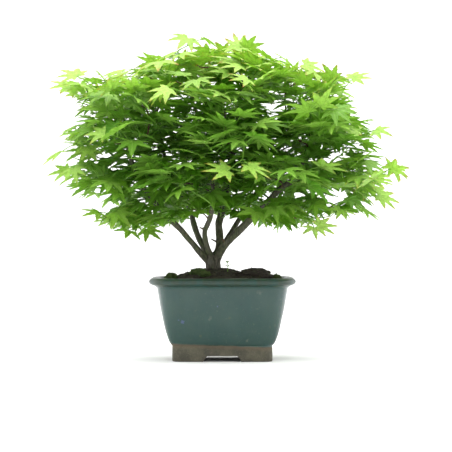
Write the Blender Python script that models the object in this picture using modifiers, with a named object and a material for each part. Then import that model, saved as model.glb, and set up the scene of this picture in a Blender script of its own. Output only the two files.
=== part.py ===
"""A Japanese maple bonsai in a deep glazed pot, in metres, +Z up.

The origin is on the surface that the pot stands on, under the middle of the whole plant, and the
front of the pot faces -Y. The pot, its grit, soil and moss, the wood of the tree and each leafy
spray are separate closed solids.
"""

import math
import random

import bmesh
import bpy
from mathutils import Matrix, Vector, noise
from mathutils.bvhtree import BVHTree

GAP = 0.0003  # clearance between two pieces that rest on or fit in each other

# Pot: lengths along X, depths along Y.
RIM_LENGTH = 0.203
RIM_DEPTH = 0.158
RIM_CORNER = 0.045  # radius of the rim's corners, seen from above
POT_HEIGHT = 0.1155
LIP_HEIGHT = 0.0145
LIP_WIDTH = 0.015
LIP_OVERHANG = 0.011  # how far the lip stands out from the glazed body below it
FOOT_INSET = 0.03225  # how far the foot stands in from the rim
FOOT_HEIGHT = 0.023
FOOT_CHAMFER = 0.0015
GLAZE_EDGE = 0.0008  # the glazed body overhangs the bare foot by this much
BELLY = 0.6  # exponent of the body's side: 1 is straight, less is rounder
BODY_RINGS = 8
RINGS_TO_FOOT = 1.4  # above 1 draws the body's rings together near the foot
CORNER_STEPS = 5
WALL = 0.007
FLOOR_TOP = 0.017
RECESS_HEIGHT = 0.009
FOOT_WALL = 0.011
ARCH_LENGTH = 0.054
ARCH_SLOPE = 0.006  # how much each end of the arch leans in over its height
ARCH_HEIGHT = 0.008

# Drainage.
DRAIN_RADIUS = 0.009
DRAIN_SHARE = 0.55  # how far apart the drain holes are, as a share of the foot's length
SCREEN_HOLES = 4
SCREEN_HOLE = 0.005
SCREEN_BAR = 0.0012
SCREEN_THICKNESS = 0.0012
WIRE_RADIUS = 0.0006
TAIL_SHARE = 0.645  # how much of the room beside each hole a wire's tail takes up
GRIT_DEPTH = 0.012

# Soil and what lies on it.
SOIL_BELOW_RIM = 0.007
MOUND_HEIGHT = 0.019
MOUND_ROUNDING = 0.8  # less makes the mound flatter on top
SOIL_ROUGHNESS = 0.0016
SOIL_LUMPS = 90.0  # lumps of soil to a metre
MOUND_STEPS = (1.0, 0.86, 0.7, 0.54, 0.38, 0.22, 0.1)
MOSS_CUSHIONS = (
    # name, place as shares of the soil's half length and half depth, and then the cushion's half
    # length, half depth and rise as shares of the soil's half length
    ("moss_cushion_left", -0.39, -0.41, 0.133, 0.110, 0.075),
    ("moss_cushion_front", -0.28, -0.62, 0.098, 0.081, 0.052),
    ("moss_cushion_far_left", -0.82, -0.31, 0.110, 0.116, 0.098),
    ("moss_cushion_right", 0.86, -0.19, 0.092, 0.104, 0.069),
    ("moss_cushion_back", -0.23, 0.56, 0.173, 0.127, 0.069),
)
CLOD_PLACE = (0.54, -0.41)
CLOD_SIZE = (0.231, 0.150, 0.098)
MOSS_LUMPS = 0.25
CLOD_LUMPS = 0.5
SEEDLING_PLACE = (0.08, -0.47)
SEEDLING_HEIGHT = 0.013
SEEDLING_DEPTH = 0.003
SEEDLING_LEAF = 0.0075
SEEDLING_LEAF_WIDTH = 0.0044

# Wood: places are along X and Y from the pot's middle and up from its rim.
TRUNK = (
    # x, y, height above the rim, radius
    (-0.013, 0.0, -0.0315, 0.0085),
    (-0.013, 0.0, -0.0095, 0.0125),
    (-0.013, 0.0, 0.0045, 0.0120),
    (-0.0133, 0.0, 0.0145, 0.0104),
    (-0.0138, 0.0, 0.0235, 0.0108),
    (-0.0140, 0.0, 0.0285, 0.0085),
    (-0.0138, 0.0, 0.0315, 0.0045),
)
ROOT_HEIGHT = -0.0035
ROOT_REACH = 0.040
ROOT_DROP = 0.015
ROOT_RADIUS = 0.0062
ROOT_HEADINGS = (20.0, 95.0, 165.0, 235.0, 305.0)
ROOT_STEPS = (0.0, 0.3, 0.65, 1.0)
ROOT_FALL = 1.5  # exponent of a root's way down into the soil
ROOT_TAPER = 0.6
LIMBS = (
    ((-0.018, -0.002, 0.0205), (-0.026, -0.004, 0.0285), (-0.040, -0.008, 0.0455), (-0.055, -0.014, 0.0635),
     (-0.075, -0.022, 0.0835), (-0.098, -0.034, 0.1105), (-0.118, -0.044, 0.1425), (-0.132, -0.046, 0.1845)),
    ((-0.016, 0.002, 0.0245), (-0.026, 0.006, 0.0415), (-0.036, 0.012, 0.0605), (-0.041, 0.018, 0.0755),
     (-0.048, 0.028, 0.0995), (-0.064, 0.042, 0.1305), (-0.082, 0.054, 0.1685), (-0.090, 0.058, 0.2145)),
    ((-0.014, -0.003, 0.0265), (-0.021, -0.006, 0.0415), (-0.0245, -0.010, 0.0615), (-0.019, -0.016, 0.0785),
     (-0.014, -0.026, 0.0975), (-0.014, -0.040, 0.1295), (-0.022, -0.050, 0.1695), (-0.034, -0.048, 0.2145),
     (-0.042, -0.030, 0.2595)),
    ((-0.011, 0.003, 0.0265), (-0.005, 0.007, 0.0375), (-0.004, 0.012, 0.0545), (-0.005, 0.020, 0.0725),
     (-0.001, 0.032, 0.0945), (0.006, 0.044, 0.1295), (0.014, 0.056, 0.1745), (0.022, 0.054, 0.2195),
     (0.026, 0.036, 0.2645)),
    ((-0.009, -0.001, 0.0245), (0.001, -0.002, 0.0415), (0.0095, -0.004, 0.0515), (0.0265, -0.008, 0.0685),
     (0.043, -0.013, 0.0855), (0.057, -0.020, 0.1005), (0.082, -0.030, 0.1245), (0.108, -0.038, 0.1525),
     (0.122, -0.040, 0.1945)),
    ((-0.010, 0.004, 0.0285), (0.003, 0.015, 0.0475), (0.020, 0.034, 0.0745), (0.042, 0.056, 0.1095),
     (0.066, 0.072, 0.1465), (0.084, 0.078, 0.1895)),
)
STUBS = (
    # where a small dead stub leaves the wood, and where it ends
    ((-0.005, 0.010, 0.0475), (-0.016, -0.002, 0.0535)),
    ((-0.023, -0.008, 0.0665), (-0.032, -0.014, 0.0695)),
    ((0.004, -0.003, 0.0445), (0.000, -0.010, 0.0545)),
    ((-0.051, -0.013, 0.0595), (-0.049, -0.022, 0.0605)),
)
STUB_RADIUS = 0.0014
LIMB_STEP = 0.015
TIP_RADIUS = 0.0011  # a branch that carries one spray
GIRTH = 0.74  # exponent: how a branch thickens with the number of sprays that it carries
LOWEST_BRANCHING = 0.0695
BRANCH_STEPS = 5
BRANCH_BOW = 0.35  # how far a branch keeps its first and last headings, as a share of its span
BUD_ROOM = 0.012  # the least between a branch's start and its end, and its least rise
NECK_OF_TWIG = 0.003  # the end of a branch that runs straight into its twig
LEAST_LOAD = 0.6  # what the bare end of a limb counts as carrying
BUD_KNOTS = 3  # the last knots of a branch, which no other branch leaves from

# Canopy: how far the leaf tips reach, layer by layer.
CANOPY = (
    # height above the rim, left, right, half depth, sprays, rise of the twigs
    (0.0885, -0.190, 0.195, 0.150, 6, -0.10),
    (0.1365, -0.225, 0.254, 0.185, 8, 0.00),
    (0.1875, -0.244, 0.243, 0.198, 8, 0.10),
    (0.2365, -0.244, 0.214, 0.190, 7, 0.25),
    (0.2785, -0.205, 0.195, 0.150, 6, 0.45),
    (0.3025, -0.135, 0.120, 0.085, 3, 1.10),
)
CANOPY_BACK = 0.006  # how far the crown's middle lies behind the pot's
SPRAY_REACH = 0.092  # from a twig's foot to its leaves' tips
TWIG_LENGTH = 0.044
TWIG_RADIUS = 0.0008
TWIG_KNEE = 0.1  # the share of a twig that runs on straight from its branch
TWIG_ROOM = 0.0018  # how near a twig comes to other pieces
TWIG_TRIES = 12
PETIOLE_LENGTH = 0.021
PETIOLE_SPREAD = (0.8, 1.2)
PETIOLE_RADIUS = 0.0005
PETIOLE_JOINT = 0.3  # the share of a petiole that may touch its neighbour's at the twig
LEAF_LENGTH = 0.039  # the middle lobe, from the petiole to its tip
LEAF_SPREAD = (0.86, 1.12)
LEAF_DROOP = (4, 52)  # how far a leaf hangs below the level, in degrees
LEAF_LOBES = ((0.0, 1.0), (42.0, 0.88), (88.0, 0.62))  # angle from the midrib, share of its length
LEAF_SINUSES = ((21.0, 0.36), (66.0, 0.34))
LEAF_BASE = (128.0, 0.17)
LEAF_PAIRS = ((0.42, 64.0), (0.74, 50.0), (0.98, 22.0))  # place along the twig, angle to it
PAIR_STAGGER = 0.0026  # how far the two leaves of a pair leave the twig from each other
LEAF_TRIES = 14
SEED = 7

COLLECTION = "maple_bonsai"
UP = Vector((0, 0, 1))

# Sizes that follow from the ones above.
BODY_TOP = POT_HEIGHT - LIP_HEIGHT
NECK_LENGTH = RIM_LENGTH - 2 * LIP_OVERHANG
FOOT_LENGTH = RIM_LENGTH - 2 * FOOT_INSET
DRAIN_SPACING = DRAIN_SHARE * FOOT_LENGTH
RECESS_LENGTH = FOOT_LENGTH - 2 * FOOT_WALL
WIRE_LEG = (SCREEN_HOLE + SCREEN_BAR) / 2
WIRE_TAIL = TAIL_SHARE * ((RECESS_LENGTH - DRAIN_SPACING) / 2 - WIRE_LEG)
SCREEN_WIDTH = SCREEN_HOLES * SCREEN_HOLE + (SCREEN_HOLES + 1) * SCREEN_BAR
SCREEN_BOTTOM = FLOOR_TOP + GAP
WIRE_TOP = SCREEN_BOTTOM + SCREEN_THICKNESS + GAP + WIRE_RADIUS
SOIL_EDGE = POT_HEIGHT - SOIL_BELOW_RIM
SOIL_HALF_LENGTH = RIM_LENGTH / 2 - LIP_WIDTH
SOIL_HALF_DEPTH = RIM_DEPTH / 2 - LIP_WIDTH


# ---------------------------------------------------------------- scene and materials

def clear_scene():
    for item in list(bpy.data.objects):
        bpy.data.objects.remove(item, do_unlink=True)


def collection_named(name):
    found = bpy.data.collections.get(name) or bpy.data.collections.new(name)
    if name not in bpy.context.scene.collection.children:
        bpy.context.scene.collection.children.link(found)
    return found


def material_named(name, colour, roughness, metallic=0.0):
    found = bpy.data.materials.get(name)
    if found is None:
        found = bpy.data.materials.new(name)
        found.use_nodes = True
        shader = found.node_tree.nodes["Principled BSDF"]
        shader.inputs["Base Color"].default_value = (*colour, 1.0)
        shader.inputs["Roughness"].default_value = roughness
        shader.inputs["Metallic"].default_value = metallic
        found.diffuse_color = (*colour, 1.0)
    return found


GLAZE = ("celadon_glaze", (0.064, 0.118, 0.108), 0.2)
SOIL = ("soil", (0.045, 0.040, 0.030), 0.95)
GRIT = ("grit", (0.20, 0.18, 0.15), 0.9)
MOSS = ("moss", (0.10, 0.14, 0.04), 0.95)
PLASTIC = ("screen_plastic", (0.03, 0.03, 0.03), 0.6)
WIRE = ("aluminium_wire", (0.55, 0.54, 0.52), 0.4, 1.0)
BARK = ("bark", (0.085, 0.080, 0.055), 0.85)
LEAF = ("maple_leaf", (0.16, 0.33, 0.05), 0.5)
SEEDLING = ("seedling_green", (0.14, 0.22, 0.05), 0.6)


def new_object(name, mesh, finish=None, collection=COLLECTION):
    made = bpy.data.objects.new(name, mesh)
    collection_named(collection).objects.link(made)
    if finish:
        mesh.materials.clear()
        mesh.materials.append(material_named(*finish))
    return made


def mesh_from(name, points, faces):
    mesh = bpy.data.meshes.new(name)
    mesh.from_pydata([tuple(p) for p in points], [], faces)
    mesh.update()
    return mesh


def as_cutter(made):
    made.hide_render = True
    made.display_type = "WIRE"
    return made


def evaluated_mesh(made):
    bpy.context.view_layer.update()
    graph = bpy.context.evaluated_depsgraph_get()
    return bpy.data.meshes.new_from_object(made.evaluated_get(graph))


def boolean(made, operation, tool):
    """One Boolean on an object, with another object or a whole collection as its tool."""
    step = made.modifiers.new(tool.name, "BOOLEAN")
    step.operation = operation
    if isinstance(tool, bpy.types.Collection):
        step.operand_type = "COLLECTION"
        step.collection = tool
    else:
        step.object = tool
    return step


def applied(made):
    """The object with its modifiers made part of its mesh."""
    mesh = evaluated_mesh(made)
    made.modifiers.clear()
    made.data = mesh
    return made


# ---------------------------------------------------------------- shapes used more than once

def tube(name, points, radii, sides, collection="cutters", finish=None):
    """A closed tube along a line of points, as a mesh with its caps welded on."""
    curve = bpy.data.curves.new(name + "_axis", "CURVE")
    curve.dimensions = "3D"
    curve.bevel_depth = 1.0
    curve.bevel_resolution = sides // 2 - 2
    curve.use_fill_caps = True
    spline = curve.splines.new("POLY")
    spline.points.add(len(points) - 1)
    for knot, place, radius in zip(spline.points, points, radii):
        knot.co = (*place, 1.0)
        knot.radius = radius
    guide = bpy.data.objects.new(name + "_axis", curve)
    collection_named(collection).objects.link(guide)
    mesh = evaluated_mesh(guide)
    bpy.data.objects.remove(guide, do_unlink=True)
    work = bmesh.new()
    work.from_mesh(mesh)
    bmesh.ops.remove_doubles(work, verts=work.verts, dist=1e-6)
    bmesh.ops.recalc_face_normals(work, faces=work.faces)
    work.to_mesh(mesh)
    work.free()
    mesh.name = name
    mesh.materials.clear()
    return new_object(name, mesh, finish, collection)


def above_rim(place):
    """A place whose height is given from the pot's rim."""
    return Vector((place[0], place[1], POT_HEIGHT + place[2]))


def loft(name, rings):
    """A closed solid through rings of as many points each, with a face over both ends."""
    count = len(rings[0])
    points = [p for ring in rings for p in ring]
    faces = [tuple(reversed(range(count)))]
    for lower in range(len(rings) - 1):
        a, b = lower * count, (lower + 1) * count
        for i in range(count):
            j = (i + 1) % count
            faces.append((a + i, a + j, b + j, b + i))
    top = (len(rings) - 1) * count
    faces.append(tuple(top + i for i in range(count)))
    return mesh_from(name, points, faces)


def pot_ring(half_length, height, scale=1.0):
    """A level outline of the pot: every one is the rim's outline, offset inwards."""
    inset = RIM_LENGTH / 2 - half_length
    half_depth = RIM_DEPTH / 2 - inset
    radius = RIM_CORNER - inset
    ring = []
    corners = ((1, 1, 0.0), (-1, 1, 90.0), (-1, -1, 180.0), (1, -1, 270.0))
    for side_x, side_y, start in corners:
        for step in range(CORNER_STEPS + 1):
            angle = math.radians(start + 90.0 * step / CORNER_STEPS)
            x = side_x * (half_length - radius) + radius * math.cos(angle)
            y = side_y * (half_depth - radius) + radius * math.sin(angle)
            ring.append(Vector((x * scale, y * scale, height)))
    return ring


def along(profile, height):
    """The half length of a profile of (half length, height) pairs at a height between them."""
    for (low, z0), (high, z1) in zip(profile, profile[1:]):
        if z0 <= height <= z1:
            return low + (high - low) * (height - z0) / (z1 - z0)
    return profile[0][0] if height < profile[0][1] else profile[-1][0]


# ---------------------------------------------------------------- pot

def body_profile():
    """The glazed side from the foot up to the lip, as half lengths and heights."""
    start = FOOT_LENGTH / 2 + GLAZE_EDGE
    profile = []
    for ring in range(BODY_RINGS + 1):
        share = (ring / BODY_RINGS) ** RINGS_TO_FOOT
        half = start + (NECK_LENGTH / 2 - start) * share**BELLY
        profile.append((half, FOOT_HEIGHT + share * (BODY_TOP - FOOT_HEIGHT)))
    return profile


def inner_profile():
    """The inside of the wall, from the floor up to the lip."""
    floor_half = FOOT_LENGTH / 2 - WALL
    walls = [(half - WALL, z) for half, z in body_profile()]
    return [(floor_half - GLAZE_EDGE, FLOOR_TOP)] + walls


def lip_profile():
    """The rolled lip, from under its outer edge over the top to its inner edge."""
    middle = RIM_LENGTH / 2 - LIP_WIDTH / 2
    centre = POT_HEIGHT - LIP_HEIGHT / 2
    profile = []
    for angle in (-62.0, -35.0, -8.0, 20.0, 48.0, 76.0, 104.0, 135.0, 168.0):
        turn = math.radians(angle)
        profile.append((middle + LIP_WIDTH / 2 * math.cos(turn), centre + LIP_HEIGHT / 2 * math.sin(turn)))
    return profile


def make_pot():
    foot = FOOT_LENGTH / 2
    outside = [(foot - FOOT_CHAMFER, 0.0), (foot, FOOT_CHAMFER), (foot, FOOT_HEIGHT)]
    outside += body_profile() + lip_profile()
    inside = list(reversed(inner_profile()))
    rings = [pot_ring(half, z) for half, z in outside + inside]
    pot = new_object("pot", loft("pot", rings), GLAZE)
    recess_rings = [pot_ring(foot - FOOT_WALL, -0.01), pot_ring(foot - FOOT_WALL, RECESS_HEIGHT)]
    recess = as_cutter(new_object("foot_recess", loft("foot_recess", recess_rings), None, "cutters"))
    boolean(pot, "DIFFERENCE", recess)
    boolean(pot, "DIFFERENCE", foot_arch())
    for side in (-1, 1):
        place = Matrix.Translation((side * DRAIN_SPACING / 2, 0, FLOOR_TOP))
        drain = bmesh.new()
        bmesh.ops.create_cone(drain, cap_ends=True, segments=20, radius1=DRAIN_RADIUS, radius2=DRAIN_RADIUS,
                              depth=3 * FLOOR_TOP, matrix=place)
        mesh = bpy.data.meshes.new("drain_hole")
        drain.to_mesh(mesh)
        drain.free()
        boolean(pot, "DIFFERENCE", as_cutter(new_object("drain_hole", mesh, None, "cutters")))
    return pot


def foot_arch():
    """The low cut that runs through the front and the back of the foot."""
    block = bmesh.new()
    bmesh.ops.create_cube(block, size=1.0)
    for vertex in block.verts:
        side, up = math.copysign(1.0, vertex.co.x), math.copysign(1.0, vertex.co.z)
        half = ARCH_LENGTH / 2 - up * ARCH_SLOPE
        vertex.co = (side * half, vertex.co.y * 2 * RIM_DEPTH, up * ARCH_HEIGHT)
    mesh = bpy.data.meshes.new("foot_arch")
    block.to_mesh(mesh)
    block.free()
    return as_cutter(new_object("foot_arch", mesh, None, "cutters"))


# ---------------------------------------------------------------- drainage

def make_screen(name, x):
    """A square of plastic mesh over a drain hole."""
    stops = [-SCREEN_WIDTH / 2]
    for hole in range(SCREEN_HOLES):
        stops += [stops[-1] + SCREEN_BAR, stops[-1] + SCREEN_BAR + SCREEN_HOLE]
    stops.append(SCREEN_WIDTH / 2)
    count = len(stops)
    points = [(x + u, v, SCREEN_BOTTOM) for v in stops for u in stops]
    faces = []
    for row in range(count - 1):
        for column in range(count - 1):
            if row % 2 and column % 2:
                continue
            corner = row * count + column
            faces.append((corner, corner + 1, corner + count + 1, corner + count))
    screen = new_object(name, mesh_from(name, points, faces), PLASTIC)
    sheet = screen.modifiers.new("thickness", "SOLIDIFY")
    sheet.thickness = SCREEN_THICKNESS
    sheet.offset = 1.0
    return screen


def make_screen_wire(name, x):
    """The staple that holds a screen: over it, down through its holes and out under the floor."""
    under = RECESS_HEIGHT - GAP - WIRE_RADIUS
    bend = 2 * WIRE_RADIUS
    half = [(WIRE_LEG - bend, WIRE_TOP), (WIRE_LEG, WIRE_TOP - bend), (WIRE_LEG, under + bend),
            (WIRE_LEG + bend, under), (WIRE_LEG + WIRE_TAIL, under)]
    route = [(-u, z) for u, z in reversed(half)] + half
    points = [Vector((x + u, WIRE_LEG, z)) for u, z in route]
    return tube(name, points, [WIRE_RADIUS] * len(points), 6, COLLECTION, WIRE)


def filling(bottom, top):
    """Rings that follow the inside of the wall between two heights, a gap away from it."""
    profile = inner_profile()
    heights = [bottom] + [z for _, z in profile if bottom < z < top] + [top]
    return [pot_ring(along(profile, z) - GAP, z) for z in heights]


def make_grit():
    top = FLOOR_TOP + GAP + GRIT_DEPTH
    grit = new_object("drainage_grit", loft("drainage_grit", filling(FLOOR_TOP + GAP, top)), GRIT)
    pocket_top = WIRE_TOP + WIRE_RADIUS + GAP
    for side in (-1, 1):
        block = bmesh.new()
        bmesh.ops.create_cube(block, size=1.0)
        size = SCREEN_WIDTH + 2 * GAP
        height = pocket_top - FLOOR_TOP + 0.002
        middle = Vector((side * DRAIN_SPACING / 2, 0, pocket_top - height / 2))
        bmesh.ops.transform(block, verts=block.verts,
                            matrix=Matrix.LocRotScale(middle, None, Vector((size, size, height))))
        mesh = bpy.data.meshes.new("screen_pocket")
        block.to_mesh(mesh)
        block.free()
        boolean(grit, "DIFFERENCE", as_cutter(new_object("screen_pocket", mesh, None, "cutters")))
    return grit


# ---------------------------------------------------------------- soil and what lies on it

def ground(x, y):
    """The height of the soil's mound, without its small lumps."""
    away = min(1.0, math.hypot(x / SOIL_HALF_LENGTH, y / SOIL_HALF_DEPTH))
    return SOIL_EDGE + MOUND_HEIGHT * math.cos(away * math.pi / 2) ** MOUND_ROUNDING


def soil_mesh(name, lift=0.0):
    bottom = FLOOR_TOP + GRIT_DEPTH + 2 * GAP
    rings = filling(bottom, SOIL_EDGE)
    edge = along(inner_profile(), SOIL_EDGE) - GAP
    for share in MOUND_STEPS[1:]:
        ring = pot_ring(edge, 0.0, share)
        for place in ring:
            lump = noise.noise(Vector((place.x * SOIL_LUMPS, place.y * SOIL_LUMPS, 3.0)))
            place.z = ground(place.x, place.y) + SOIL_ROUGHNESS * lump
        rings.append(ring)
    for ring in rings:
        for place in ring:
            place.z += lift
    return triangulated(loft(name, rings))


def triangulated(mesh):
    """Splits every face the same way, so that the soil and its lifted copy have one surface."""
    work = bmesh.new()
    work.from_mesh(mesh)
    bmesh.ops.triangulate(work, faces=work.faces, quad_method="FIXED")
    work.to_mesh(mesh)
    work.free()
    return mesh


def root_tubes(clearance, collection):
    """The foot of the trunk and its surface roots, grown by a clearance for what they sit in."""
    pieces = []
    trunk = [above_rim(step) for step in TRUNK]
    trunk[0].z -= clearance
    pieces.append(tube("trunk_foot", trunk, [step[3] + clearance for step in TRUNK], 12, collection))
    for heading in ROOT_HEADINGS:
        angle = math.radians(heading)
        out = Vector((math.cos(angle), math.sin(angle), 0.0))
        points = []
        radii = []
        for share in ROOT_STEPS:
            reach = ROOT_REACH * share + (clearance if share == 1.0 else 0.0)
            fall = ROOT_DROP * share**ROOT_FALL
            points.append(above_rim((TRUNK[1][0], TRUNK[1][1], ROOT_HEIGHT - fall)) + out * reach)
            radii.append(ROOT_RADIUS * (1 - ROOT_TAPER * share) + clearance)
        pieces.append(tube("root", points, radii, 8, collection))
    return pieces


def make_soil(root_space):
    soil = new_object("soil", soil_mesh("soil"), SOIL)
    boolean(soil, "DIFFERENCE", root_space)
    return soil


def rest_on_soil(made, lifted_soil, root_space):
    """Cuts a piece to the soil's surface and to the trunk's foot, a gap away from both."""
    boolean(made, "DIFFERENCE", lifted_soil)
    boolean(made, "DIFFERENCE", root_space)
    return applied(made)


def on_soil(along_x, along_y):
    """The place on the mound at shares of the soil's half length and half depth."""
    x, y = along_x * SOIL_HALF_LENGTH, along_y * SOIL_HALF_DEPTH
    return Vector((x, y, ground(x, y)))


def mound_mesh(name, centre, size, lumps):
    """A low lumpy dome with its middle on the ground, its size in shares of the soil's half length."""
    halves = [share * SOIL_HALF_LENGTH for share in size]
    dome = bmesh.new()
    bmesh.ops.create_icosphere(dome, subdivisions=2, radius=1.0)
    for vertex in dome.verts:
        lump = 1.0 + lumps * noise.noise(vertex.co * 2.2 + centre * 100)
        vertex.co = centre + Vector([part * lump * half for part, half in zip(vertex.co, halves)])
    mesh = bpy.data.meshes.new(name)
    dome.to_mesh(mesh)
    dome.free()
    return mesh


def make_ground_cover(lifted_soil, root_space):
    for name, along_x, along_y, half_length, half_depth, rise in MOSS_CUSHIONS:
        size = (half_length, half_depth, rise)
        mesh = mound_mesh(name, on_soil(along_x, along_y), size, MOSS_LUMPS)
        rest_on_soil(new_object(name, mesh, MOSS), lifted_soil, root_space)
    mesh = mound_mesh("soil_clod", on_soil(*CLOD_PLACE), CLOD_SIZE, CLOD_LUMPS)
    rest_on_soil(new_object("soil_clod", mesh, SOIL), lifted_soil, root_space)
    make_seedling(lifted_soil, root_space)


def make_seedling(lifted_soil, root_space):
    """A weed seedling: a stem with two pairs of small pointed leaves."""
    foot = on_soil(*SEEDLING_PLACE) - UP * SEEDLING_DEPTH
    top = foot + UP * (SEEDLING_HEIGHT + SEEDLING_DEPTH)
    stem = tube("weed_seedling", [foot, top], [0.0006, 0.0004], 6, COLLECTION, SEEDLING)
    rest_on_soil(stem, lifted_soil, root_space)
    leaves = collection_named("seedling_leaves")
    for pair, (height, turn) in enumerate(((0.6, 20.0), (0.95, 105.0))):
        for side in (0.0, 180.0):
            angle = math.radians(turn + side)
            out = Vector((math.cos(angle), math.sin(angle), 0.45)).normalized()
            across = UP.cross(out).normalized()
            rise = out.cross(across)
            start = foot.lerp(top, height)
            middle = start + out * SEEDLING_LEAF * 0.55
            half = across * SEEDLING_LEAF_WIDTH / 2
            thick = rise * GAP
            points = [start, middle - half, start + out * SEEDLING_LEAF, middle + half,
                      middle + thick, middle - thick]
            faces = [(0, 1, 4), (1, 2, 4), (2, 3, 4), (3, 0, 4), (1, 0, 5), (2, 1, 5), (3, 2, 5), (0, 3, 5)]
            mesh = mesh_from("seedling_leaf", points, faces)
            as_cutter(new_object("seedling_leaf", mesh, None, "seedling_leaves"))
    boolean(stem, "UNION", leaves)
    applied(stem)
    remove_collection(leaves)


def remove_collection(collection):
    for item in list(collection.objects):
        bpy.data.objects.remove(item, do_unlink=True)
    bpy.data.collections.remove(collection)


# ---------------------------------------------------------------- how the tree grows

def smooth_line(points, step):
    """A rounded line through the points, with a knot about every step."""
    places = [above_rim(p) for p in points]
    ends = [places[0] * 2 - places[1]] + places + [places[-1] * 2 - places[-2]]
    line = [places[0]]
    for i in range(1, len(ends) - 2):
        before, a, b, after = ends[i - 1:i + 3]
        count = max(1, round((b - a).length / step))
        for k in range(1, count + 1):
            t = k / count
            line.append(0.5 * (2 * a + (b - before) * t + (2 * before - 5 * a + 4 * b - after) * t**2
                               + (3 * a - before - 3 * b + after) * t**3))
    return line


def spray_places():
    """Where each spray's twig starts, and where it points, layer by layer from the bottom."""
    chance = random.Random(SEED)
    places = []
    for layer, (height, left, right, half_depth, count, rise) in enumerate(CANOPY):
        middle = (left + right) / 2
        half_x = (right - left) / 2 - SPRAY_REACH
        half_y = max(0.02, half_depth - SPRAY_REACH)
        for spray in range(count):
            angle = 2 * math.pi * (spray + 0.5 * (layer % 2) + chance.uniform(-0.12, 0.12)) / count
            x = middle + half_x * math.cos(angle)
            y = CANOPY_BACK + half_y * math.sin(angle)
            z = POT_HEIGHT + height + chance.uniform(-0.008, 0.008)
            out = Vector((math.cos(angle), math.sin(angle), rise + chance.uniform(-0.1, 0.1)))
            places.append((Vector((x, y, z)), out.normalized()))
    return places


def grow_wood(places):
    """Each branch as knots along its axis: limbs first, then one branch to every spray."""
    knots = []  # place, parent knot, sprays it carries
    closed = set()  # knots that no branch leaves from
    chains = []
    for limb in LIMBS:
        chain = []
        for place in smooth_line(limb, LIMB_STEP):
            knots.append([place, chain[-1] if chain else None, 0])
            chain.append(len(knots) - 1)
        chains.append(chain)
    fork = above_rim(LIMBS[2][0])
    order = sorted(range(len(places)), key=lambda i: (places[i][0] - fork).length)
    for index in order:
        place, out = places[index]
        start = nearest_knot(knots, closed, place, out)
        begin = knots[start][0]
        span = (place - begin).length
        parent = knots[start][1]
        leaving = (begin - knots[parent][0]).normalized() if parent is not None else UP
        leaving = (leaving + (place - begin).normalized()).normalized()
        first = begin + leaving * span * BRANCH_BOW
        neck = place - out * NECK_OF_TWIG
        second = neck - out * span * BRANCH_BOW
        chain = [start]
        for k in range(1, BRANCH_STEPS + 2):
            t = min(1.0, k / BRANCH_STEPS)
            point = begin * (1 - t)**3 + first * 3 * t * (1 - t)**2
            point += second * 3 * t * t * (1 - t) + neck * t**3
            knots.append([place if k > BRANCH_STEPS else point, chain[-1], 0])
            chain.append(len(knots) - 1)
        chains.append(chain)
        closed.update(chain[-BUD_KNOTS:])
        knot = chain[-1]
        while knot is not None:
            knots[knot][2] += 1
            knot = knots[knot][1]
    return knots, chains


def nearest_knot(knots, closed, place, out):
    """The knot that a branch to a place can leave from: close by, below it and behind it."""
    best, found = None, 0
    for index, (point, parent, _) in enumerate(knots):
        if parent is None or index in closed or point.z < POT_HEIGHT + LOWEST_BRANCHING:
            continue
        reach = place - point
        if reach.length < BUD_ROOM:
            continue
        cost = reach.length * (1.6 - 0.6 * reach.normalized().dot(out)) + max(0.0, BUD_ROOM - reach.z) * 1.5
        if best is None or cost < best:
            best, found = cost, index
    return found


def wood_radius(sprays):
    return TIP_RADIUS * max(LEAST_LOAD, sprays) ** GIRTH


def make_wood(knots, chains):
    joined = collection_named("wood_pieces")
    pieces = root_tubes(0.0, "wood_pieces")
    for chain in chains:
        points = [knots[i][0] for i in chain]
        radii = [wood_radius(knots[i][2]) for i in chain]
        radii[0] = min(radii[0], radii[1])
        pieces.append(tube("branch", points, radii, 6, "wood_pieces"))
    for start, end in STUBS:
        radii = [STUB_RADIUS, STUB_RADIUS * 0.7]
        pieces.append(tube("stub", [above_rim(start), above_rim(end)], radii, 6, "wood_pieces"))
    trunk = pieces[0]
    joined.objects.unlink(trunk)
    collection_named(COLLECTION).objects.link(trunk)
    trunk.name = "trunk_and_branches"
    trunk.data.materials.append(material_named(*BARK))
    boolean(trunk, "UNION", joined)
    applied(trunk)
    remove_collection(joined)
    return trunk


# ---------------------------------------------------------------- leaves

def leaf_outline():
    """The outline from the leaf's right side to its left: angle, share, and whether it is a sinus."""
    ordered = [LEAF_BASE, LEAF_LOBES[2], LEAF_SINUSES[1], LEAF_LOBES[1], LEAF_SINUSES[0], LEAF_LOBES[0]]
    left = [(angle, share, (angle, share) in LEAF_SINUSES) for angle, share in ordered]
    right = [(-angle, share, sinus) for angle, share, sinus in left]
    return right + left[-2::-1]


def leaf_solid(foot, petiole, heading, face, length):
    """A leaf with its petiole: a blade thickest at its foot and sharp along its outline."""
    across = face.cross(heading).normalized()
    blade = foot + petiole
    back = petiole.normalized()
    side = (across - back * across.dot(back)).normalized()
    lift = back.cross(side)
    r = PETIOLE_RADIUS
    points = [foot + lift * r, foot - lift * r, foot + side * r, foot - side * r]
    points += [blade + face * r, blade - face * r]
    points += [blade + (across - heading) * r, blade - (across + heading) * r]
    top, under, left, right = 4, 5, 6, 7
    rim = [right]
    for angle, share, sinus in leaf_outline():
        turn = math.radians(angle)
        reach = length * share
        drop = length * (0.03 if sinus else -0.22 * share * share)
        rim.append(len(points))
        aside = across * reach * math.sin(turn)
        points.append(blade + heading * reach * math.cos(turn) + aside + face * drop)
    rim.append(left)
    faces = [(0, 2, 1), (0, 1, 3)]
    faces += [(0, 3, right, top), (3, 1, under, right), (1, 2, left, under), (2, 0, top, left)]
    for a, b in zip(rim, rim[1:]):
        faces += [(top, a, b), (under, b, a)]
    return points, faces


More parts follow.
